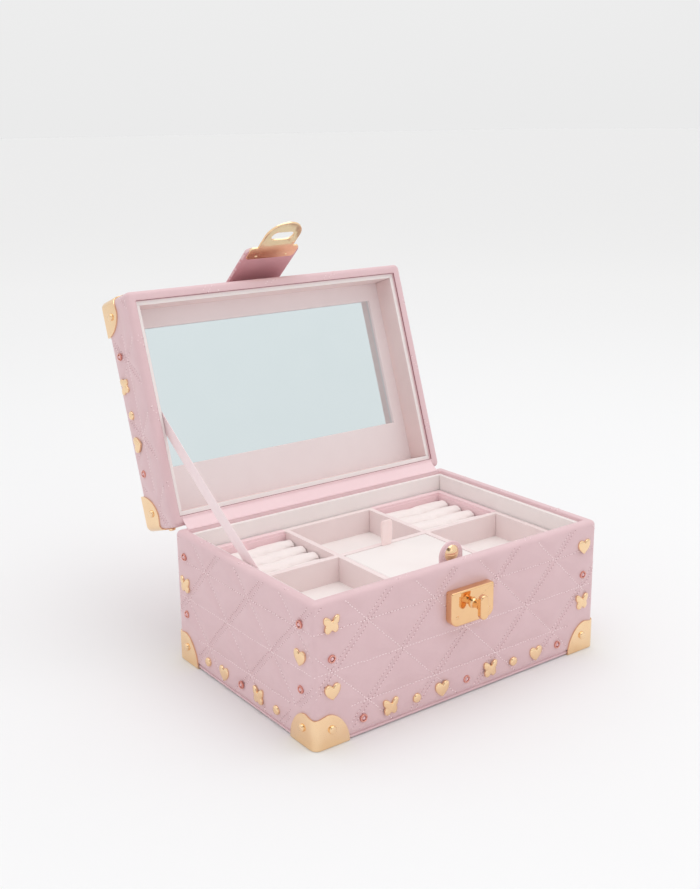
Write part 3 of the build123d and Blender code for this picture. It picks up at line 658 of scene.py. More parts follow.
def show(piece: Piece, body: Optional[Body], finish: Finish, *nodes: str) -> Piece:
    """Gives a piece its finish and its body if it has one alone, and hides the nodes that it stands for."""
    piece.data.materials.clear()
    piece.data.materials.append(materials[finish])
    if body is not None:
        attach(piece, body.value)
    if nodes:
        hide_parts(*nodes)
    log.info("%s: %d faces", piece.name, len(piece.data.polygons))
    return piece


def second_finish(piece: Piece, finish: Finish, test: Test) -> None:
    """Gives some of a lid piece's faces another finish.

    Args:
        piece: The piece, in its place on the open lid.
        finish: The other finish.
        test: Picks faces by their middle and normal on the shut lid.
    """
    piece.data.materials.append(materials[finish])
    turn = lid_shut.to_3x3()
    for face in piece.data.polygons:
        if test(lid_shut @ face.center, turn @ face.normal):
            face.material_index = 1


def joint(name: str) -> dict:
    """A joint of the frame by its name."""
    return next(item for item in frame["joints"] if item["name"] == name)


def swing(name: str) -> Matrix:
    """The turn of a hinge from rest to the lower end of its range."""
    hinge = joint(name)
    pin = Matrix.Translation(hinge["pos_m"])
    turn = Matrix.Rotation(math.radians(hinge["range_deg"][0]), 4, Vector(hinge["axis"]))
    return pin @ turn @ pin.inverted()


lid_shut = swing("lid_hinge")
lid_open = lid_shut.inverted()
HALVES = (("base", Body.BASE, Matrix()), ("lid", Body.LID, lid_shut))


def stand(spot: Vector, across: Vector, up: Vector, out: Vector) -> Matrix:
    """A place with its own across, up and outward directions."""
    return Matrix.Translation(spot) @ Matrix((across, up, out)).transposed().to_4x4()


def solids(node: str, turn: Matrix = Matrix()) -> list[tuple[Vector, Vector]]:
    """Boxes of a node's separate solids, measured after a turn.

    Args:
        node: The CAD node.
        turn: What the node is turned by before it is measured.

    Returns:
        The lowest and highest corner of each solid.
    """
    mesh = frame["nodes"][node].data
    points = np.array([turn @ v.co for v in mesh.vertices])
    _, merged = np.unique(np.round(points / SAME_POINT).astype(int), axis=0, return_inverse=True)
    merged = merged.ravel()
    label = np.arange(merged.max() + 1)
    triangles = merged[np.array([face.vertices[:3] for face in mesh.polygons])]
    while True:
        lowest = label[triangles].min(axis=1)
        fresh = label.copy()
        for corner in triangles.T:
            np.minimum.at(fresh, corner, lowest)
        fresh = fresh[fresh]
        if (fresh == label).all():
            break
        label = fresh
    groups = [points[label[merged] == n] for n in np.unique(label)]
    return [(Vector(group.min(axis=0)), Vector(group.max(axis=0))) for group in groups]


@dataclass(frozen=True)
class Quilt:
    """A lattice of stitched lines: level rows and both diagonals, which meet in stars."""

    pitch: float = 53 * MM
    groove: float = 0.9 * MM
    groove_width: float = 1.9 * MM
    puff: float = 0.8 * MM
    puff_width: float = 7.5 * MM
    stitch_step: float = 2.4 * MM
    stitch_half: Vector = field(default_factory=lambda: Vector((0.9, 0.38, 0.38)) * MM)
    stitch_proud: float = 0.35
    margin: float = 1.6 * MM
    shake: float = 0.16 * MM
    angle_shake: float = 0.14
    seed: int = 5
    twin_shift: float = 2.4 * MM
    twin_size: float = 0.7
    # The size of the dark dots painted as the shade in the needle holes.
    hole_shade_half: Vector = field(default_factory=lambda: Vector((0.34, 0.34, 0.14)) * MM)

    def height(self, across: np.ndarray, up: np.ndarray) -> np.ndarray:
        """How far the cover stands out at places measured from a star."""

        def away(value: np.ndarray, step: float) -> np.ndarray:
            """Distance to the nearest whole number of steps."""
            return np.abs((value / step + 0.5) % 1 - 0.5) * step

        slant = self.pitch / math.sqrt(2)
        gap = np.minimum(away(up, self.pitch / 2), away((across - up) / math.sqrt(2), slant))
        gap = np.minimum(gap, away((across + up) / math.sqrt(2), slant))
        rise = self.puff * (1 - np.exp(-((gap / self.puff_width) ** 2)))
        return rise - self.groove * np.exp(-gap / self.groove_width)

    def stitches(self, low: Vector, high: Vector) -> list[tuple[float, float, float, float]]:
        """Places, angles and sizes of the stitches in a rectangle measured from a star."""
        places = []
        reach = (high - low).length
        twins = [(1, shift, self.twin_size) for shift in (-self.twin_shift, self.twin_shift)]
        for slope, shift, size in [(0, 0.0, 1.0), (-1, 0.0, 1.0), *twins]:
            step = self.pitch / 2 if slope == 0 else self.pitch
            angle = math.atan(slope)
            run = np.arange(-2 * reach, 2 * reach, self.stitch_step * math.cos(angle))
            rows = math.ceil(2 * reach / step)
            for row in range(-rows, rows + 1):
                for across in run:
                    up = slope * across + row * step + shift
                    if low.x < across < high.x and low.y < up < high.y:
                        places.append((across, up, angle, size))
        return places


@dataclass
class Panel:
    """One flat side of a quilted cover, with its own across and up measured from its origin."""

    origin: Vector
    across: Vector
    up: Vector
    half: float
    low: float
    high: float
    star: tuple[float, float]
    bare: list[tuple[float, float, float, float]] = field(default_factory=list)
    quilt: Quilt = Quilt()
    edge_fade: float = 5 * MM
    bare_fade: float = 3 * MM
    corner: float = 0.0

    def lift(self, across: np.ndarray, up: np.ndarray) -> np.ndarray:
        """How far the panel stands out, fading to flat at its edges and at bare places."""
        inside = np.minimum(self.half - np.abs(across), np.minimum(up - self.low, self.high - up))
        share = inside / self.edge_fade
        for left, right, foot, head in self.bare:
            outside_x = np.maximum(np.maximum(left - across, across - right), 0)
            outside_y = np.maximum(np.maximum(foot - up, up - head), 0)
            share = np.minimum(share, np.hypot(outside_x, outside_y) / self.bare_fade)
        share = np.clip(share, 0, 1)
        fade = share * share * (3 - 2 * share)
        return fade * self.quilt.height(across - self.star[0], up - self.star[1])

    def stitch_places(self, turn: Matrix) -> tuple[list[Matrix], list[Matrix]]:
        """Where the panel's stitches lie, and the small dark dots of painted shade for the needle holes
        between them, after a turn.
        """
        quilt, star, margin = self.quilt, self.star, self.quilt.margin
        low = Vector((-self.half + margin - star[0], self.low + margin - star[1]))
        high = Vector((self.half - margin - star[0], self.high - margin - star[1]))
        hand = np.random.default_rng(quilt.seed)
        proud = quilt.stitch_proud * quilt.stitch_half.z
        ahead = quilt.stitch_step / 2
        stitches, marks = [], []
        for across, up, angle, size in quilt.stitches(low, high):
            x, y = (across, up) + np.array(star) + hand.normal(0, quilt.shake, 2)
            angle += hand.normal(0, quilt.angle_shake)
            if any(a < x < b and c < y < d for a, b, c, d in self.bare):
                continue
            stitches.append(turn @ self.sewn(x, y, angle, proud) @ Matrix.Diagonal((size, size, size, 1)))
            # Painted shade: a dark dot half a step ahead of each stitch stands for its needle hole.
            ahead_x, ahead_y = ahead * math.cos(angle), ahead * math.sin(angle)
            marks.append(turn @ self.sewn(x + ahead_x, y + ahead_y, angle, 0.0))
        return stitches, marks

    def sewn(self, x: float, y: float, angle: float, proud: float) -> Matrix:
        """A place on the panel's surface, or on its rounded corner, turned along a seam."""
        normal = self.across.cross(self.up)
        past = min(max(abs(x) - self.half + self.corner, 0.0), self.corner)
        drop = self.corner - math.sqrt(self.corner**2 - past**2)
        lift = float(self.lift(np.array([x]), np.array([y]))[0]) + proud - drop
        spot = self.origin + self.across * x + self.up * y + normal * lift
        return stand(spot, self.across, self.up, normal) @ Matrix.Rotation(angle, 4, "Z")


def stitch_template(half: Vector) -> Piece:
    """One stitch of thread, a small bead drawn out along the seam."""
    stitch = primitive("ico_sphere", subdivisions=1, radius=1)
    stitch.scale = half
    return settle(stitch)


class Side(Enum):
    """The four upright sides, as the across direction of each seen from outside."""

    FRONT = (1, 0)
    RIGHT = (0, 1)
    BACK = (-1, 0)
    LEFT = (0, -1)

    @property
    def long(self) -> bool:
        """Whether this is the front or the back."""
        return self.value[0] != 0

    @property
    def across(self) -> Vector:
        """The direction to the right, seen from outside."""
        return Vector((*self.value, 0))

    @property
    def out(self) -> Vector:
        """The direction away from the box."""
        return self.across.cross(UP)


@dataclass
class Walls:
    """The outline of the box, which the covers' rings follow."""

    half_x: float
    half_y: float
    radius: float = 4 * MM
    long_cuts: int = 156
    short_cuts: int = 108
    corner_cuts: int = 6

    def half(self, side: Side) -> float:
        """Half the length of a side."""
        return self.half_x if side.long else self.half_y

    def away(self, side: Side) -> float:
        """How far a side is from the box's middle."""
        return self.half_y if side.long else self.half_x

    def panel(
        self, side: Side, low: float, high: float, foot: float, star: tuple[float, float], bare: list
    ) -> Panel:
        """The flat panel of one side, measured up from a foot level."""
        origin = side.out * self.away(side) + UP * foot
        return Panel(origin, side.across, UP, self.half(side), low, high, star, bare, corner=self.radius)

    def ring(self, inset: float, level: float, panels: Optional[dict[Side, Panel]] = None) -> np.ndarray:
        """Points around the box at an inset and a level, lifted by the panels if given."""
        radius = max(self.radius - inset, 0)
        points = []
        for side in Side:
            across, out = np.array(side.across), np.array(side.out)
            reach = self.half(side) - inset - radius
            away = self.away(side) - inset
            run = np.linspace(-reach, reach, (self.long_cuts if side.long else self.short_cuts) + 1)
            lift = np.zeros(len(run))
            if panels is not None:
                lift = panels[side].lift(run, np.full(len(run), level - panels[side].origin.z))
            points += [across * s + out * (away + rise) for s, rise in zip(run, lift)]
            middle = across * reach + out * (away - radius)
            for turn in np.linspace(0, math.pi / 2, self.corner_cuts + 1)[1:-1]:
                points.append(middle + radius * (math.sin(turn) * across + math.cos(turn) * out))
        return np.array(points) + np.array((0, 0, level))

    def rings(self, profile: Spots) -> list[np.ndarray]:
        """Plain rings at the insets and levels of a profile."""
        return [self.ring(inset, level) for inset, level in profile]


def arc(
    middle: tuple[float, float], radius: float, start: float, end: float, steps: int
) -> list[tuple[float, float]]:
    """Inset and level of points on an arc, with its angles in degrees."""
    turns = np.radians(np.linspace(start, end, steps + 1))
    return [(middle[0] + radius * math.cos(t), middle[1] + radius * math.sin(t)) for t in turns]


@dataclass
class QuiltedCovers:
    """The quilted covers of the base and of the lid, with their stitching."""

    rim_radius: float = 3.2 * MM
    mouth_radius: float = 1.2 * MM
    # How far the painted shadow on the lip reaches out from its inner edge.
    mouth_shadow: float = 0.4 * MM
    top_radius: float = 3.5 * MM
    lip: float = 7.04 * MM
    lip_thickness: float = 1.6 * MM
    lip_skin: float = 0.3 * MM
    lip_fall: float = 5 * MM
    wall: float = 1.9 * MM
    foot_groove: float = 0.9 * MM
    foot_rise: float = 1.1 * MM
    row_step: float = 1.5 * MM
    seam_end: float = 1.5 * MM
    guard: float = 26 * MM
    guard_rise: float = 23 * MM
    base_star: float = 48.5 * MM
    side_star: float = -16 * MM
    lid_star: float = 19 * MM
    lid_front_star: float = 7 * MM
    rim_seam: tuple[float, float] = (0.4 * MM, 7.4 * MM)

    def build(self) -> None:
        """Builds both covers."""
        self.base()
        self.lid()

    def guards(self, half: float, low: float, high: float) -> list[tuple[float, float, float, float]]:
        """The places on a side that its two corner guards hide."""
        return [(-half, -half + self.guard, low, high), (half - self.guard, half, low, high)]

    def rows(self, walls: Walls, low: float, high: float, panels: dict[Side, Panel]) -> list[np.ndarray]:
        """Quilted rings up the walls between two levels."""
        levels = np.linspace(low, high, round((high - low) / self.row_step) + 1)
        return [walls.ring(0, level, panels) for level in levels]

    def mouth(self, edge: float, rise: int) -> list[tuple[float, float]]:
        """The profile of a rolled rim and the lip inside it, from the outside inwards.

        Args:
            edge: The level of the rim's edge.
            rise: 1 where the walls rise from the edge, -1 where they fall from it.

        Returns:
            Insets and levels.
        """
        rim, lip, radius = self.rim_radius, self.lip, self.mouth_radius
        profile = arc((rim, edge + rise * rim), rim, -180 * rise, -90 * rise, 6)[1:]
        profile += arc((lip - radius, edge + rise * radius), radius, -90 * rise, 0, 4)
        end, under = edge + rise * self.lip_fall, edge + rise * self.lip_thickness
        skin = lip - self.lip_skin
        return profile + [(lip, end), (skin, end), (skin, under), (self.wall, under)]

    def base(self) -> None:
        """The base's cover: walls, rolled rim and the lip inside it."""
        low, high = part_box("base_cover")
        lock_low, lock_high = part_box("lock_plate")
        walls = Walls(high.x, high.y)
        top = high.z
        panels = {}
        for side in Side:
            star = (0.0 if side.long else self.side_star, self.base_star)
            bare = self.guards(walls.half(side), 0, self.guard_rise)
            if side is Side.FRONT:
                bare.append((lock_low.x, lock_high.x, lock_low.z, lock_high.z))
            panels[side] = walls.panel(side, low.z, top - self.seam_end, 0, star, bare)
        groove = self.foot_groove
        foot = low.z + self.foot_rise + groove
        rings = walls.rings([(groove, low.z), (groove, foot - groove), (0.4 * groove, foot - 0.7 * groove)])
        rings += self.rows(walls, foot, top - self.rim_radius, panels)
        rings += walls.rings(self.mouth(top, -1) + [(self.wall, low.z)])
        faces = ring_faces(len(rings), len(rings[0]), True)
        cover = new_mesh("base_cover_quilted", np.concatenate(rings), faces)
        show(smooth(outward(cover)), Body.BASE, Finish.QUILTED, "base_cover")
        rims = [self.rim(walls, side, top, UP) for side in Side]
        self.sew("base_cover_stitches", [*panels.values(), *rims], Matrix(), Body.BASE)

    def lid(self) -> None:
        """The lid's cover: rolled rim, walls and the quilted top."""
        low, high = solids("lid_cover", lid_shut)[0]
        walls = Walls(high.x, high.y)
        rim, top = low.z, high.z
        rise = top - rim
        panels = {}
        for side in Side:
            star = (0.0, self.lid_front_star) if side.long else (self.side_star, self.lid_star)
            bare = self.guards(walls.half(side), rise - self.guard_rise, rise)
            panels[side] = walls.panel(side, self.seam_end, rise - self.top_radius, rim, star, bare)
        wall_top = top - self.top_radius
        rings = walls.rings([(self.wall, top - self.wall), *reversed(self.mouth(rim, 1))])
        rings += self.rows(walls, rim + self.rim_radius, wall_top, panels)
        shoulder = arc((self.top_radius, wall_top), self.top_radius, 180, 90, 6)[1:]
        rings += walls.rings(shoulder + [(walls.radius, top)])
        count = len(rings[0])
        faces = ring_faces(len(rings), count, False) + [tuple(range(count))]
        lid_top = self.lid_top(high)
        x = np.linspace(-high.x + walls.radius, high.x - walls.radius, walls.long_cuts + 1)
        y = np.linspace(-high.y + walls.radius, high.y - walls.radius, walls.short_cuts + 1)
        grid_x, grid_y = (grid.ravel() for grid in np.meshgrid(x, y))
        grid = np.column_stack((grid_x, grid_y, top + lid_top.lift(grid_x, grid_y)))
        start, row = len(rings) * count, len(x)
        for n in (start + j * row + i for j in range(len(y) - 1) for i in range(row - 1)):
            faces.append((n, n + 1, n + row + 1, n + row))
        cover = settle(new_mesh("lid_cover_quilted", np.concatenate(rings + [grid]), faces), lid_open)
        show(smooth(outward(cover)), Body.LID, Finish.QUILTED, "lid_cover")
        # Painted shadow: the lip's faces next to the liner get a dark rose leather that stands for the shade
        # in the gap between the lip and the liner.
        second_finish(
            cover,
            Finish.SEAM,
            lambda middle, normal: middle.z < rim + self.mouth_radius
            and min(high.x - abs(middle.x), high.y - abs(middle.y)) > self.lip - self.mouth_shadow,
        )
        rims = [self.rim(walls, side, rim, -UP) for side in Side]
        self.sew("lid_cover_stitches", [*panels.values(), lid_top, *rims], lid_open, Body.LID)

    def lid_top(self, high: Vector) -> Panel:
        """The lid's top, bare under its guards and under the root of the strap."""
        strap_low, strap_high = solids("strap_root", lid_shut)[0]
        bare = [
            (x, x + self.guard, y, y + self.guard)
            for x in (-high.x, high.x - self.guard)
            for y in (-high.y, high.y - self.guard)
        ]
        bare.append((strap_low.x, strap_high.x, -high.y, strap_high.y))
        half, reach = high.x - self.top_radius, high.y - self.top_radius
        return Panel(UP * high.z, ACROSS, UP.cross(ACROSS), half, -reach, reach, (0.0, 0.0), bare)

    def rim(self, walls: Walls, side: Side, level: float, out: Vector) -> Panel:
        """The flat of a rolled rim along one side, which the seams run across."""
        origin = UP * level + side.out * walls.away(side)
        half = walls.half(side) - self.guard
        return Panel(origin, out.cross(side.out), -side.out, half, *self.rim_seam, (0.0, 0.0))

    def sew(self, name: str, panels: Iterable[Panel], turn: Matrix, body: Body) -> None:
        """Sews the stitches of some panels, with small dark dots between them as painted shade in the needle
        holes.
        """
        quilt = Quilt()
        sewn = [panel.stitch_places(turn) for panel in panels]
        kinds = ((name, quilt.stitch_half, Finish.THREAD), (f"{name}_needle", quilt.hole_shade_half, Finish.NEEDLE))
        for n, (piece, half, finish) in enumerate(kinds):
            places = [place for pair in sewn for place in pair[n]]
            show(scatter(piece, stitch_template(half), places), body, finish)


def velvet_panel(name: str, low: Vector, high: Vector, crown: float, crown_up: bool = True) -> Piece:
    """A velvet-covered card with a rounded long edge and slightly softened corners.

    Args:
        name: The piece's name.
        low: Its lowest corner.
        high: Its highest corner.
        crown: The radius of the rounded edge.
        crown_up: Whether the rounded edge is the upper one.

    Returns:
        The panel.
    """
    piece = shape_box(name, low, high)
    level = high.z if crown_up else low.z
    axis = 0 if high.x - low.x > high.y - low.y else 1
    bevel(piece, lambda middle, way: abs(way.z) > ALONG, CARD_CORNER, 2)
    bevel(piece, lambda middle, way: abs(middle.z - level) < TOUCH and abs(way[axis]) > ALONG, crown, 5)
    return smooth(piece)


def velvet_cards(node: str, body: Body, finish: Finish, crown: float) -> None:
    """Shows a node's cards covered with velvet."""
    cards = [velvet_panel(node, low, high, crown) for low, high in solids(node)]
    show(join(f"{node}_velvet", cards), body, finish, node)


@dataclass
class VelvetLining:
    """The velvet-covered cards inside the base and the lid, with the board that frames the mirror."""

    edge: float = 1.3 * MM
    edge_slope: float = 0.35
    frame_edge: float = 0.7 * MM
    frame_reach: float = 4 * MM
    mirror_room: float = 0.02 * MM
    pad_edge: float = 0.8 * MM

    def build(self) -> None:
        """Builds the lining of both halves."""
        for node in ("base_long_liners", "base_side_liners"):
            velvet_cards(node, Body.BASE, Finish.VELVET, self.edge)
        for node in ("lid_long_liners", "lid_side_liners"):
            cards = [velvet_panel(node, low, high, self.edge, False) for low, high in solids(node, lid_shut)]
            card = smooth(settle(join(f"{node}_velvet", cards), lid_open))
            # Painted light and shade: the lid's liner walls get the darker pinker velvet as painted shade,
            # and their faces turned towards the rim get the pale velvet as painted light.
            show(card, Body.LID, Finish.SHADED_LINER, node)
            second_finish(card, Finish.VELVET, lambda middle, normal: normal.z < -self.edge_slope)
        pad = velvet_panel("base_floor_velvet", *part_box("base_floor_pad"), self.pad_edge)
        show(pad, Body.BASE, Finish.VELVET, "base_floor_pad")
        self.mirror_frame()

    def mirror_frame(self) -> None:
        """The velvet board around the mirror, with a soft edge at its opening."""
        low, high = solids("mirror_board", lid_shut)[0]
        glass_low, glass_high = solids("mirror", lid_shut)[0]
        board = shape_box("mirror_frame_velvet", low, high)
        room = Vector((self.mirror_room, self.mirror_room, 0))
        cutter = shape_box("mirror_cutter", glass_low - room - UP * (high.z - low.z), glass_high + room)
        combine(board, cutter, "DIFFERENCE")

        def at_opening(middle: Vector, way: Vector) -> bool:
            """Whether an edge lies around the opening on the board's face."""
            inside = abs(middle.x) < glass_high.x + self.frame_reach and low.y + MM < middle.y < high.y - MM
            return inside and abs(middle.z - low.z) < TOUCH

        bevel(board, at_opening, self.frame_edge, 4)
        smooth(settle(board, lid_open))
        show(board, Body.LID, Finish.LID_VELVET, "mirror_board")


@dataclass
class JewelryTray:
    """The lift-out tray: walls, dividers, ring rolls, lift tab and the lid of its small compartment."""

    wall_crown: float = 1.9 * MM
    roll_end: float = 2.2 * MM
    roll_cuts: int = 8
    roll_spare: float = 0.05 * MM
    roll_room: float = 0.5 * MM
    roll_weave: float = 1.5 * MM
    roll_seam: float = 2.5 * MM
    roll_pressure: float = 20.0
    roll_mass: float = 0.01
    roll_stiffness: float = 0.1
    roll_slack: float = 0.03
    roll_swell: float = 0.7 * MM
    roll_moments: int = 20
    roll_angle: float = math.radians(60)
    panel_edge: float = 1.0 * MM
    wrap_proud: float = 0.12 * MM
    wrap_fall: float = 7 * MM
    flank_share: float = 0.9
    tab_edge: float = 0.5 * MM
    tab_step: float = 1.5 * MM
    tab_seam: float = 2.2 * MM
    tab_stitch: float = 2.6 * MM
    tab_thread: tuple[float, float, float] = (0.9 * MM, 0.24 * MM, 0.22 * MM)
    ply: float = 1.1 * MM
    pull_foot: float = 7.6 * MM
    pull_head: float = 9.2 * MM
    pull_round: float = 3 * MM
    pull_waist: float = 5 * MM
    pull_flare: float = 8 * MM
    pull_gap: float = 0.1 * MM
    pull_step: float = 0.6 * MM
    fold_share: float = 0.55
    foot_share: float = 0.3
    waist_share: float = 0.7

    def build(self) -> None:
        """Builds the tray's pieces."""
        # Painted shade: the walls and dividers get the pinker, darker velvet that stands for the shade inside
        # the compartments.
        for node in ("tray_long_walls", "tray_side_walls", "tray_long_divider", "tray_cross_dividers"):
            velvet_cards(node, Body.TRAY, Finish.SHADED_WALLS, self.wall_crown)
        for node in ("ring_rolls_left", "ring_rolls_right"):
            self.rolls(node)
        self.wraps()
        self.tab()
        self.compartment()
        self.pull()

    def rolls(self, node: str) -> None:
        """The padded rolls of one ring bay."""
        boxes = solids(node)
        places = [Matrix.Translation((*((low + high) / 2).xy, low.z)) for low, high in boxes]
        low, high = boxes[0]
        piece = scatter(f"{node}_padded", self.roll(high - low), places)
        show(smooth(piece, self.roll_angle), Body.TRAY, Finish.ROLLS, node)

    def roll(self, size: Vector) -> Piece:
        """One roll that stands on its origin: a sewn tube that is filled until its fabric swells.

        Args:
            size: The room that the filled roll takes up.

        Returns:
            The roll.
        """
        room = self.roll_room
        far = Vector((size.x / 2 - room, size.y / 2 - room, size.z - room))
        roll = shape_box("roll", Vector((-far.x, -far.y, 0)), far)
        top_edge: Test = lambda spot, way: abs(spot.z - far.z) < TOUCH and abs(way.x) > ALONG
        bevel(roll, top_edge, far.y - self.roll_spare, self.roll_cuts)
        bevel(roll, lambda middle, way: abs(way.x) < 1 - ALONG and middle.z > MM, self.roll_end, 4)
        take(roll)
        roll.data.remesh_voxel_size = self.roll_weave
        bpy.ops.object.voxel_remesh()
        flat = np.array([point.co for point in roll.data.vertices])
        seam = roll.vertex_groups.new(name="seam")
        seam.add([n for n, place in enumerate(flat) if place[2] < self.roll_seam], 1.0, "REPLACE")
        filling = roll.modifiers.new("filling", "CLOTH")
        settings = {
            "use_pressure": True,
            "uniform_pressure_force": self.roll_pressure,
            "mass": self.roll_mass,
            "vertex_group_mass": seam.name,
            "shrink_min": -self.roll_slack,
            "bending_stiffness": self.roll_stiffness,
        }
        for key, value in settings.items():
            setattr(filling.settings, key, value)
        filling.settings.effector_weights.gravity = 0
        filling.point_cache.frame_start = 1
        filling.point_cache.frame_end = self.roll_moments
        for moment in range(1, self.roll_moments + 1):
            bpy.context.scene.frame_set(moment)
        bpy.ops.object.modifier_apply(modifier=filling.name)
        bpy.context.scene.frame_set(1)
        moved = np.array([point.co for point in roll.data.vertices]) - flat
        reach = np.maximum(np.linalg.norm(moved, axis=1), 1e-9)
        swollen = flat + moved * np.minimum(1, self.roll_swell / reach)[:, None]
        for point, place in zip(roll.data.vertices, swollen):
            point.co = place
        return roll

    def wraps(self) -> None:
        """The leather over the tops of the outer walls beside the ring bays."""
        back_low, back_high = max(solids("tray_long_walls"), key=lambda box: box[1].y)
        divider_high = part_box("tray_long_divider")[1]
        bay_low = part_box("ring_rolls_right")[0]
        proud = Vector((1, 1, 1)) * self.wrap_proud
        less = self.flank_share * proud
        ridge = (back_low.y + back_high.y) / 2
        side_walls = sorted(solids("tray_side_walls"), key=lambda box: box[0].x)
        pieces = []
        for side, (wall_low, wall_high) in zip((-1, 1), side_walls):
            ends = sorted((side * bay_low.x, side * back_high.x))
            low = Vector((ends[0], back_low.y, back_high.z - self.wrap_fall))
            high = Vector((ends[1], back_high.y, back_high.z))
            rear = velvet_panel("wrap", low - proud, high + proud, self.wall_crown)
            low = Vector((wall_low.x, divider_high.y, wall_high.z - self.wrap_fall))
            high = Vector((wall_high.x, ridge, wall_high.z))
            flank = velvet_panel("wrap", low - less, high + less, self.wall_crown)
            pieces.append(combine(rear, flank, "UNION"))
        show(smooth(join("ring_bay_wraps", pieces)), Body.TRAY, Finish.BAND)

    def tab(self) -> None:
        """The leather lift tab with its edge stitching."""
        low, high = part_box("tray_tab")
        radius = (high.x - low.x) / 2
        spring = high.z - low.z - radius

        def outline(inset: float, step: float) -> np.ndarray:
            """Points along the tab's edge at an inset, from one foot to the other."""
            reach = radius - inset
            turns = np.linspace(0, math.pi, 40)
            crown = np.column_stack((reach * np.cos(turns), spring + reach * np.sin(turns)))
            return evenly(np.vstack(((reach, inset), crown, (-reach, inset))), step)

        thick = high.y - low.y
        plate = plate_from_outline("tray_tab_leather", outline(0, self.tab_step), thick)
        level_edge: Test = lambda spot, way: abs(way.z) < 1 - ALONG and min(spot.z, thick - spot.z) < TOUCH
        bevel(plate, level_edge, self.tab_edge, 3)
        middle = Vector(((low.x + high.x) / 2, high.y, low.z))
        upright_tab = Matrix.Translation(middle) @ Matrix.Rotation(math.pi / 2, 4, "X")
        smooth(settle(plate, upright_tab))
        show(plate, Body.TRAY, Finish.SMOOTH, "tray_tab")
        places = []
        seam = outline(self.tab_seam, self.tab_stitch)
        for here, there in zip(seam, seam[1:]):
            spot = (here + there) / 2
            angle = math.atan2(*(there - here)[::-1])
            for depth in (0, thick):
                place = Matrix.Translation((*spot, depth)) @ Matrix.Rotation(angle, 4, "Z")
                places.append(upright_tab @ place)
        stitches = scatter("tray_tab_stitches", stitch_template(Vector(self.tab_thread)), places)
        show(stitches, Body.TRAY, Finish.THREAD)

    def compartment(self) -> None:
        """The velvet panel over the small compartment."""
        panel = shape_box("compartment_lid_velvet", *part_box("compartment_lid"))
        bevel(panel, lambda middle, way: True, self.panel_edge, 3)
        show(smooth(panel), Body.COMPARTMENT, Finish.VELVET, "compartment_lid")

    def pull(self) -> None:
        """The satin loop that lifts the panel: a ribbon folded over, drawn in at its foot."""
        low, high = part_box("compartment_pull")
        gap = self.fold_share * self.ply
        middle = (low.y + high.y) / 2
        top = high.z - gap - self.ply / 2
        turns = np.linspace(0, math.pi, 13)
        fold = [(0, middle + gap * math.cos(t), top + gap * math.sin(t)) for t in turns]
        foot = low.z + self.pull_gap
        waist = low.z + self.pull_waist
        near, far = self.foot_share * gap, self.waist_share * gap
        line = [(0, middle + near, foot), (0, middle + far, waist), *fold]
        line += [(0, middle - far, waist), (0, middle - near, foot)]
        path = evenly(curve_through(line, steps=6), self.pull_step)
        rise = np.clip((path[:, 2] - low.z) / self.pull_flare, 0, 1)
        widths = self.pull_foot + (self.pull_head - self.pull_foot) * rise * rise * (3 - 2 * rise)
        widths -= self.pull_round * np.clip(1 - (high.z - path[:, 2]) / self.pull_round, 0, 1) ** 2
        loop = strip("compartment_pull_ribbon", path, ACROSS, widths, self.ply, cuts=8)
        show(loop, Body.COMPARTMENT, Finish.PULL, "compartment_pull")


def plate_from_outline(name: str, outline: np.ndarray, height: float, steps: Spots = ()) -> Piece:
    """A plate of any outline that stands on its origin, with its face drawn up and in to puff it.

    Args:
        name: The piece's name.
        outline: Points of its edge, in turn.
        height: The height of its upright edge.
        steps: For each step of the face, how much smaller it gets and how far up it goes.

    Returns:
        The plate.
    """
    plate = primitive("cylinder", vertices=len(outline), radius=1, depth=2)
    plate.name = name
    for n, point in enumerate(plate.data.vertices):
        point.co = (*outline[n // 2], height if point.co.z > 0 else 0)
    outward(plate)
    draw_up(plate, lambda middle, normal: normal.z > ALONG, steps)
    return outward(plate)


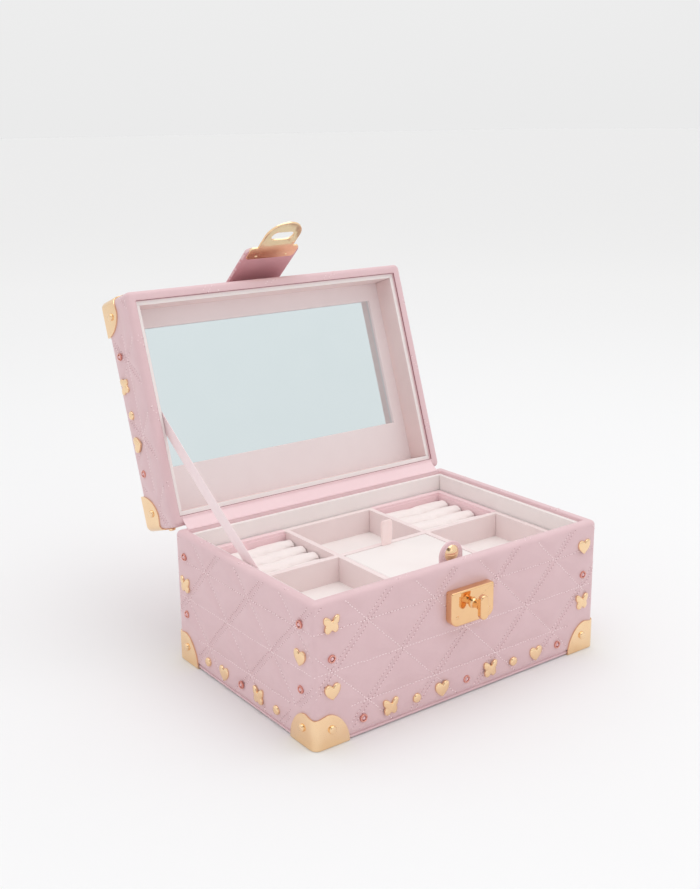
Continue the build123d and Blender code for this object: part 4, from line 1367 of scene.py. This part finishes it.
@dataclass
class GoldStuds:
    """The hearts, butterflies and round studs around the box, puffed like cast metal."""

    width: float = 11.3 * MM
    outline_step: float = 0.06
    rise: float = 1.2 * MM
    dot_radius: float = 3.1 * MM
    rivet_radius: float = 2.6 * MM
    round_cuts: int = 24
    guard_thickness: float = 0.8 * MM
    cup_radius: float = 2.15 * MM
    cup_wire: float = 0.6 * MM
    cup_height: float = 1.5
    stone_radius: float = 1.75 * MM
    stone_rise: float = 1.3 * MM
    walls: Walls = field(default_factory=lambda: Walls(120 * MM, 82.5 * MM))
    heart: Spots = (
        (0, 0.26), (0.12, 0.39), (0.28, 0.43), (0.44, 0.36), (0.5, 0.18), (0.44, -0.06), (0.24, -0.29),
        (0, -0.47),
    )
    butterfly: Spots = (
        (0.05, 0.22), (0.16, 0.4), (0.36, 0.5), (0.5, 0.42), (0.48, 0.16), (0.38, 0.0), (0.43, -0.16),
        (0.38, -0.39), (0.2, -0.46), (0.05, -0.34),
    )
    steps: Spots = ((0.92, 0.4 * MM), (0.86, 0.3 * MM), (0.7, 0.2 * MM), (0.45, 0.08 * MM))

    def build(self) -> None:
        """Builds the studs and the guards' rivets of both halves."""
        kinds = (
            ("hearts", self.outline(self.heart), 0.0),
            ("butterflies", self.outline(self.butterfly), 0.0),
            ("dots", circle(self.dot_radius, self.round_cuts), 0.0),
            ("guard_rivets", circle(self.rivet_radius, self.round_cuts), self.guard_thickness),
        )
        for kind, outline, proud in kinds:
            for part, body, turn in HALVES:
                node = f"{part}_{kind}"
                template = plate_from_outline(kind, outline, self.rise, self.steps)
                studs = scatter(f"{node}_puffed", template, self.places(node, turn, proud))
                show(studs, body, Finish.GOLD, node)
        for part, body, turn in HALVES:
            node = f"{part}_crystal_cups"
            places = self.places(node, turn, 0.0)
            show(scatter(f"{node}_round", self.cup(), places), body, Finish.CUPS, node)
            stones = scatter(f"{part}_crystals_cut", self.stone(), places)
            show(stones, body, Finish.CRYSTAL, f"{part}_crystals")

    def cup(self) -> Piece:
        """The rounded ring that holds a stone."""
        cup = primitive(
            "torus", major_radius=self.cup_radius, minor_radius=self.cup_wire, major_segments=20,
            minor_segments=8, location=(0, 0, self.cup_wire),
        )
        cup.scale.z = self.cup_height
        return settle(cup)

    def stone(self) -> Piece:
        """A stone with a cut crown and a flat table."""
        stone = settle(primitive(
            "cone", vertices=8, radius1=self.stone_radius, radius2=0.5 * self.stone_radius,
            depth=self.stone_rise, location=(0, 0, self.stone_rise / 2),
        ))
        draw_up(stone, lambda middle, normal: normal.z > ALONG, [(0.5, 0.25 * self.stone_rise)])
        return stone

    def outline(self, half: Spots) -> np.ndarray:
        """A closed outline from its right half."""
        right = evenly(curve_through(half, steps=8), self.outline_step)
        left = right[::-1] * np.array((-1, 1))
        if abs(right[0][0]) < 0.01:
            left = left[1:-1]
        return np.vstack((right, left))[::-1] * self.width

    def places(self, node: str, turn: Matrix, proud: float) -> list[Matrix]:
        """Where a node's studs stand on the walls, or a little proud of them."""
        places = []
        for low, high in solids(node, turn):
            middle = (low + high) / 2
            side = min(Side, key=lambda one: abs(middle.dot(one.out) - self.walls.away(one)))
            spot = middle - side.out * (middle.dot(side.out) - self.walls.away(side) - proud)
            places.append(turn.inverted() @ stand(spot, side.across, UP, side.out))
        return places


@dataclass
class ClosingStrap:
    """The leather strap that is sewn to the lid's top, bends over its front edge and hangs out from it."""

    thickness: float = 2.9 * MM
    spread: float = 2.5 * MM
    crown: float = 0.15 * MM
    inlay: float = 1.6 * MM
    root_corner: float = 9 * MM
    tip_corner: float = 3 * MM
    tip_short: float = 2.6 * MM
    tip_zone: float = 2 * MM
    seam: float = 3 * MM
    step: float = 1.2 * MM
    stitch_step: float = 3.3 * MM
    bend_radius: float = 5 * MM
    bend_end: float = 0.94
    bend_reach: float = 5 * MM
    seam_crown: float = 0.6
    under_slope: float = 0.5
    falls: Sequence[float] = (0.03, 0.12, 0.3, 0.6, 1.0)

    def build(self) -> None:
        """Builds the strap and its edge seams."""
        root_low, root_high = solids("strap_root", lid_shut)[0]
        pivot = lid_shut @ Vector(joint("strap_fold")["pos_m"])
        radius = self.bend_radius
        top = root_high.z - self.inlay
        bend_y = root_low.y + self.inlay + radius
        turns = np.linspace(math.pi / 2, math.pi * self.bend_end, 8)
        bend = [(0, bend_y + radius * math.cos(t), top - radius + radius * math.sin(t)) for t in turns]
        line = [(0, root_high.y, top), (0, (root_high.y + bend_y) / 2, top), *bend]
        fall = self.tip(pivot) - pivot
        fall -= fall.normalized() * self.tip_short
        line += [tuple(pivot + fall * share) for share in self.falls]
        path = evenly(curve_through(line, steps=6), self.step)
        width = root_high.x - root_low.x + 2 * self.spread
        widths = round_ends(path, width, self.root_corner, self.tip_corner)
        strap = strip("closing_strap", path, ACROSS, widths, self.thickness, 14, self.crown)
        smooth(settle(strap, lid_open))
        show(strap, None, Finish.QUILTED, "strap_root", "strap_flap")
        self.line(strap, path)
        self.fold(strap, pivot, fall)
        stitches = self.edge_seams(path, widths)
        self.fold(show(stitches, None, Finish.THREAD), pivot, fall)

    def line(self, strap: Piece, path: np.ndarray) -> None:
        """Gives the faces on the strap's underside a darker rose leather."""
        along = tangents(path)

        def underneath(middle: Vector, normal: Vector) -> bool:
            """Whether a face looks to the strap's underside."""
            nearest = np.linalg.norm((path - np.array(middle))[:, 1:], axis=1).argmin()
            return normal.dot(ACROSS.cross(Vector(along[nearest]))) > self.under_slope

        second_finish(strap, Finish.STRAP, underneath)

    def tip(self, pivot: Vector) -> Vector:
        """The middle of the flap's free end, measured on its solid."""
        flap = frame["nodes"]["strap_flap"]
        points = np.array([lid_shut @ v.co for v in flap.data.vertices])
        reach = np.linalg.norm(points[:, 1:] - np.array(pivot)[1:], axis=1)
        end = points[reach > reach.max() - self.tip_zone]
        return Vector((0, *end[:, 1:].mean(axis=0)))

    def fold(self, piece: Piece, pivot: Vector, fall: Vector) -> None:
        """Puts a piece's place into its mesh."""
        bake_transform(piece)

    def edge_seams(self, path: np.ndarray, widths: np.ndarray) -> Piece:
        """The seams along both edges of the strap's outer face."""
        along, run = tangents(path), run_along(path)
        proud = self.thickness / 2 + self.crown * self.seam_crown
        places = []
        for at in np.arange(2 * self.seam, run[-1] - self.seam, self.stitch_step):
            spot, way = (Vector([np.interp(at, run, column) for column in rows.T]) for rows in (path, along))
            way.normalize()
            out = ACROSS.cross(way)
            edge = np.interp(at, run, widths) / 2 - self.seam
            for side in (-1, 1):
                sewn = spot - out * proud + ACROSS * (side * edge)
                places.append(lid_open @ stand(sewn, way, out.cross(way), out))
        return scatter("closing_strap_stitches", stitch_template(Quilt().stitch_half), places)


@dataclass
class LidRibbons:
    """The satin ribbon that stops the lid, and the soft strip over the rear rims."""

    stay_thickness: float = 0.45 * MM
    stay_step: float = 1.5 * MM
    stay_sag: float = 1.2 * MM
    strip_thickness: float = 0.5 * MM
    strip_step: float = 0.5 * MM
    strip_reach: float = 6 * MM
    strip_hold: float = 0.6

    def build(self) -> None:
        """Builds both ribbons."""
        self.stay()
        self.rear_strip()

    def stay(self) -> None:
        """The ribbon from the base's left liner to the lid's left liner."""
        points = np.array([v.co for v in frame["nodes"]["ribbon_stay"].data.vertices])
        middle = points.mean(axis=0)
        spread = points - middle
        _, _, axes = np.linalg.svd(spread, full_matrices=False)
        way = axes[0] if axes[0][2] > 0 else -axes[0]
        reach = np.abs(spread @ way).max()
        width = 2 * np.abs(spread @ axes[1]).max()
        start, end = middle - way * reach, middle + way * reach
        sag = np.array((0.0, 0.0, -self.stay_sag))
        line = curve_through([start, (2 * start + end) / 3 + sag, (start + 2 * end) / 3 + sag, end], steps=20)
        path = evenly(line, self.stay_step)
        widths = np.full(len(path), width)
        ribbon = strip("ribbon_stay_satin", path, Vector(axes[1]), widths, self.stay_thickness, cuts=6)
        show(ribbon, None, Finish.SATIN, "ribbon_stay")
        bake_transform(ribbon)

    def rear_strip(self) -> None:
        """The strip that covers the gap between the rear rims."""
        low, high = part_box("hinge_strip")
        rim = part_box("base_cover")[1]
        lid_low = solids("lid_cover", lid_shut)[0][0]
        half = self.strip_thickness / 2
        reach = rim.y - low.y
        hold = self.strip_hold * reach
        lid_edge = [tuple(lid_open @ Vector((0, rim.y - share, lid_low.z - half))) for share in (hold, reach)]
        line = [(0, low.y, rim.z + half), (0, rim.y - hold, rim.z + half), *lid_edge]
        path = evenly(curve_through(line, steps=10), self.strip_step)
        widths = np.full(len(path), high.x - low.x + 2 * self.strip_reach)
        band = strip("hinge_strip_leather", path, ACROSS, widths, self.strip_thickness, cuts=40)
        show(band, None, Finish.BAND, "hinge_strip")
        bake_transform(band)


@dataclass
class SoftFittings:
    """The metal fittings whose sharp edges are rounded a little, so that they catch the light."""

    guard_edge: float = 0.3 * MM
    lock_edge: float = 0.6 * MM
    catch_edge: float = 0.15 * MM
    catch_ear: float = 15.25 * MM
    catch_spread: float = 2.5 * MM
    wing_thickness: float = 4.2 * MM
    neck_radius: float = 3.5 * MM
    neck_cuts: int = 32
    neck_steps: Spots = ((0.8, 0.1), (0.93, 0.15), (1.0, 0.35), (1.15, 0.2), (1.06, 0.1))
    flat_angle: float = math.radians(2)
    sharp_angle: float = math.radians(40)
    shade_angle: float = math.radians(30)

    def build(self) -> None:
        """Builds the fittings."""
        self.soften("base_guards", Body.BASE, Finish.GOLD, self.guard_edge)
        self.soften("lid_guards", Body.LID, Finish.GOLD, self.guard_edge)
        self.soften("lock_plate", Body.BASE, Finish.POLISHED, self.lock_edge)
        self.soften("lock_knob", Body.KNOB, Finish.POLISHED, self.guard_edge)
        self.soften("catch_plate", Body.STRAP, Finish.GOLD, self.catch_edge, self.catch_spread)
        self.neck()

    def neck(self) -> None:
        """The collar and flared neck that carry the lock knob's wing."""
        foot = Vector(joint("knob_turn")["pos_m"])
        foot.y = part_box("lock_plate")[0].y
        gap = foot.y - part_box("lock_knob")[0].y - self.wing_thickness
        steps = [(share, rise * gap) for share, rise in self.neck_steps]
        outline = circle(self.neck_radius, self.neck_cuts)
        neck = plate_from_outline("lock_knob_neck", outline, 0.1 * gap, steps)
        settle(neck, Matrix.Translation(foot) @ Matrix.Rotation(math.pi / 2, 4, "X"))
        show(smooth(neck), Body.KNOB, Finish.POLISHED)

    def soften(self, node: str, body: Body, finish: Finish, radius: float, spread: float = 0.0) -> None:
        """Shows a copy of a node's solid with its sharp edges rounded.

        Args:
            node: The node.
            body: The body that it rides on.
            finish: Its finish.
            radius: The radius of its edges.
            spread: How much further its ears reach than the solid's.
        """
        piece = bpy.data.objects.new(f"{node}_softened", frame["nodes"][node].data.copy())
        bpy.context.scene.collection.objects.link(piece)
        outward(piece)
        for point in piece.data.vertices:
            if abs(point.co.x) > self.catch_ear:
                point.co.x += math.copysign(spread, point.co.x)
        with editing(piece):
            bpy.ops.mesh.select_all(action="SELECT")
            bpy.ops.mesh.customdata_custom_splitnormals_clear()
            bpy.ops.mesh.dissolve_limited(angle_limit=self.flat_angle)
        rounding = piece.modifiers.new("edges", "BEVEL")
        rounding.width = radius
        rounding.segments = 3
        rounding.limit_method = "ANGLE"
        rounding.angle_limit = self.sharp_angle
        bpy.ops.object.modifier_apply(modifier=rounding.name)
        show(smooth(piece, self.shade_angle), body, finish, node)


@dataclass
class PlainNodes:
    """The nodes that keep their own shape and get a finish."""

    finishes: Sequence[tuple[Finish, str]] = (
        (Finish.BOARD, "base_bottom_board base_long_boards base_side_boards"),
        (Finish.BOARD, "lid_top_board lid_long_boards lid_side_boards"),
        (Finish.SMOOTH, "base_bottom_cover"),
        (Finish.BAND, "ring_bay_linings"),
        (Finish.VELVET, "tray_supports tray_floor compartment_ledges"),
        (Finish.GOLD, "base_hinge_leaves lid_hinge_leaves hinge_pins base_hinge_screws lid_hinge_screws"),
        (Finish.GOLD, "catch_rivets tray_tab_rivet"),
        (Finish.POLISHED, "lock_rivets"),
        (Finish.MIRROR, "mirror"),
    )

    def build(self) -> None:
        """Gives each node its finish."""
        for finish, nodes in self.finishes:
            for node in nodes.split():
                slots = frame["nodes"][node].data.materials
                slots.clear()
                slots.append(materials[finish])


@dataclass
class Studio:
    """A pale floor, soft light and the camera."""

    azimuth: float = -36.351
    elevation: float = 15.564
    roll: float = -0.678
    distance: float = 0.82642
    aside: float = -0.02656
    above: float = 0.1464
    focal_pixels: float = 1164.8
    frame_height: int = 889
    sensor: float = 36.0
    floor_size: float = 60.0
    floor_reach: float = 2.2
    floor_shade_near: Colour = (0.89, 0.893, 0.9, 1)
    floor_far: Colour = (0.97, 0.97, 0.97, 1)
    room: Sequence[tuple[float, Colour]] = ((0.0, (0.83, 0.83, 0.83, 1)), (1.0, (1.0, 1.0, 1.0, 1)))
    screen: Sequence[tuple[float, Colour]] = ((0.89, (1, 1, 1, 1)), (0.96, (0.22, 0.21, 0.2, 1)))
    screen_place: tuple[float, float, float] = (-0.33, -0.62, 0.71)
    aim: tuple[float, float, float] = (0, 0, 0.08)

    def build(self) -> None:
        """Sets the stage."""
        self.floor()
        self.world()
        self.lights()
        self.camera()
        bpy.context.scene.view_settings.view_transform = "Standard"

    def floor(self) -> None:
        """A wide pale floor, painted darker and a little bluish near the middle to offset the softboxes'
        light and the pink bounce from the box, and lighter far out.
        """
        floor = primitive("plane", size=self.floor_size, location=(0, 0, 0))
        floor.name = "studio_floor"
        board = NodeBoard(bpy.data.materials.new("studio_floor"))
        away = board.node("ShaderNodeVectorMath", {"operation": "LENGTH"}, {0: board.place()}, "Value")
        share = board.ramp(away * (1 / self.floor_reach), [(0.1, (0, 0, 0, 1)), (0.9, (1, 1, 1, 1))])
        # Painted shade: the floor's colour darkens and cools towards the middle, where the box stands and the
        # softboxes' light falls.
        tint = board.between(share, self.floor_shade_near, self.floor_far)
        board.surface_of(Base_Color=tint, Roughness=0.9, Specular_IOR_Level=0.0)
        floor.data.materials.append(board.owner)

    def world(self) -> None:
        """A pale room that is brighter above, with a dim screen above the camera."""
        world = bpy.data.worlds.new("studio")
        bpy.context.scene.world = world
        board = NodeBoard(world, "Background")
        place = board.node("ShaderNodeTexCoord", output="Generated")
        room = board.ramp(board.node("ShaderNodeSeparateXYZ", None, {0: place}, "Z"), self.room)
        towards = {0: place, 1: Vector(self.screen_place).normalized()}
        facing = board.node("ShaderNodeVectorMath", {"operation": "DOT_PRODUCT"}, towards, "Value")
        mixing = {"data_type": "RGBA", "blend_type": "MULTIPLY"}
        shade = board.node("ShaderNodeMix", mixing, {0: 1.0, 6: room, 7: board.ramp(facing, self.screen)}, 2)
        board.surface_of(Color=shade, Strength=1.0)

    def lights(self) -> None:
        """A large soft light above, and a weaker one from the front."""
        for name, place, size, power in (
            ("overhead_softbox", (0.1, -0.15, 1.5), 1.5, 6.2),
            ("front_softbox", (0.0, -1.6, 1.1), 1.0, 0.8),
        ):
            bpy.ops.object.light_add(type="AREA", location=place)
            light = bpy.context.object
            light.name = name
            light.data.size = size
            light.data.energy = power
            light.rotation_euler = (Vector(self.aim) - Vector(place)).to_track_quat("-Z", "Y").to_euler()

    def camera(self) -> None:
        """The camera at the photograph's place."""
        azimuth, elevation, roll = (math.radians(a) for a in (self.azimuth, self.elevation, self.roll))
        back = Vector((
            math.sin(azimuth) * math.cos(elevation),
            -math.cos(azimuth) * math.cos(elevation),
            math.sin(elevation),
        ))
        level = UP.cross(back).normalized()
        rise = back.cross(level)
        right = level * math.cos(roll) + rise * math.sin(roll)
        up = rise * math.cos(roll) - level * math.sin(roll)
        data = bpy.data.cameras.new("studio_camera")
        data.sensor_width = self.sensor
        data.lens = self.focal_pixels / self.frame_height * self.sensor
        camera = bpy.data.objects.new("studio_camera", data)
        bpy.context.scene.collection.objects.link(camera)
        spot = right * self.aside + up * self.above + back * self.distance
        camera.matrix_world = stand(spot, right, up, back)
        bpy.context.scene.camera = camera


def main() -> None:
    """Builds the dressed box and its studio."""
    logging.basicConfig(level=logging.INFO, format="%(name)s %(message)s")
    for finish in Finish:
        materials[finish] = finish.value.make()
    for part in (PlainNodes(), SoftFittings(), QuiltedCovers(), VelvetLining(), JewelryTray(), GoldStuds(),
                 ClosingStrap(), LidRibbons(), Studio()):
        part.build()
        log.info("%s built", type(part).__name__)


if __name__ == "__main__":
    main()
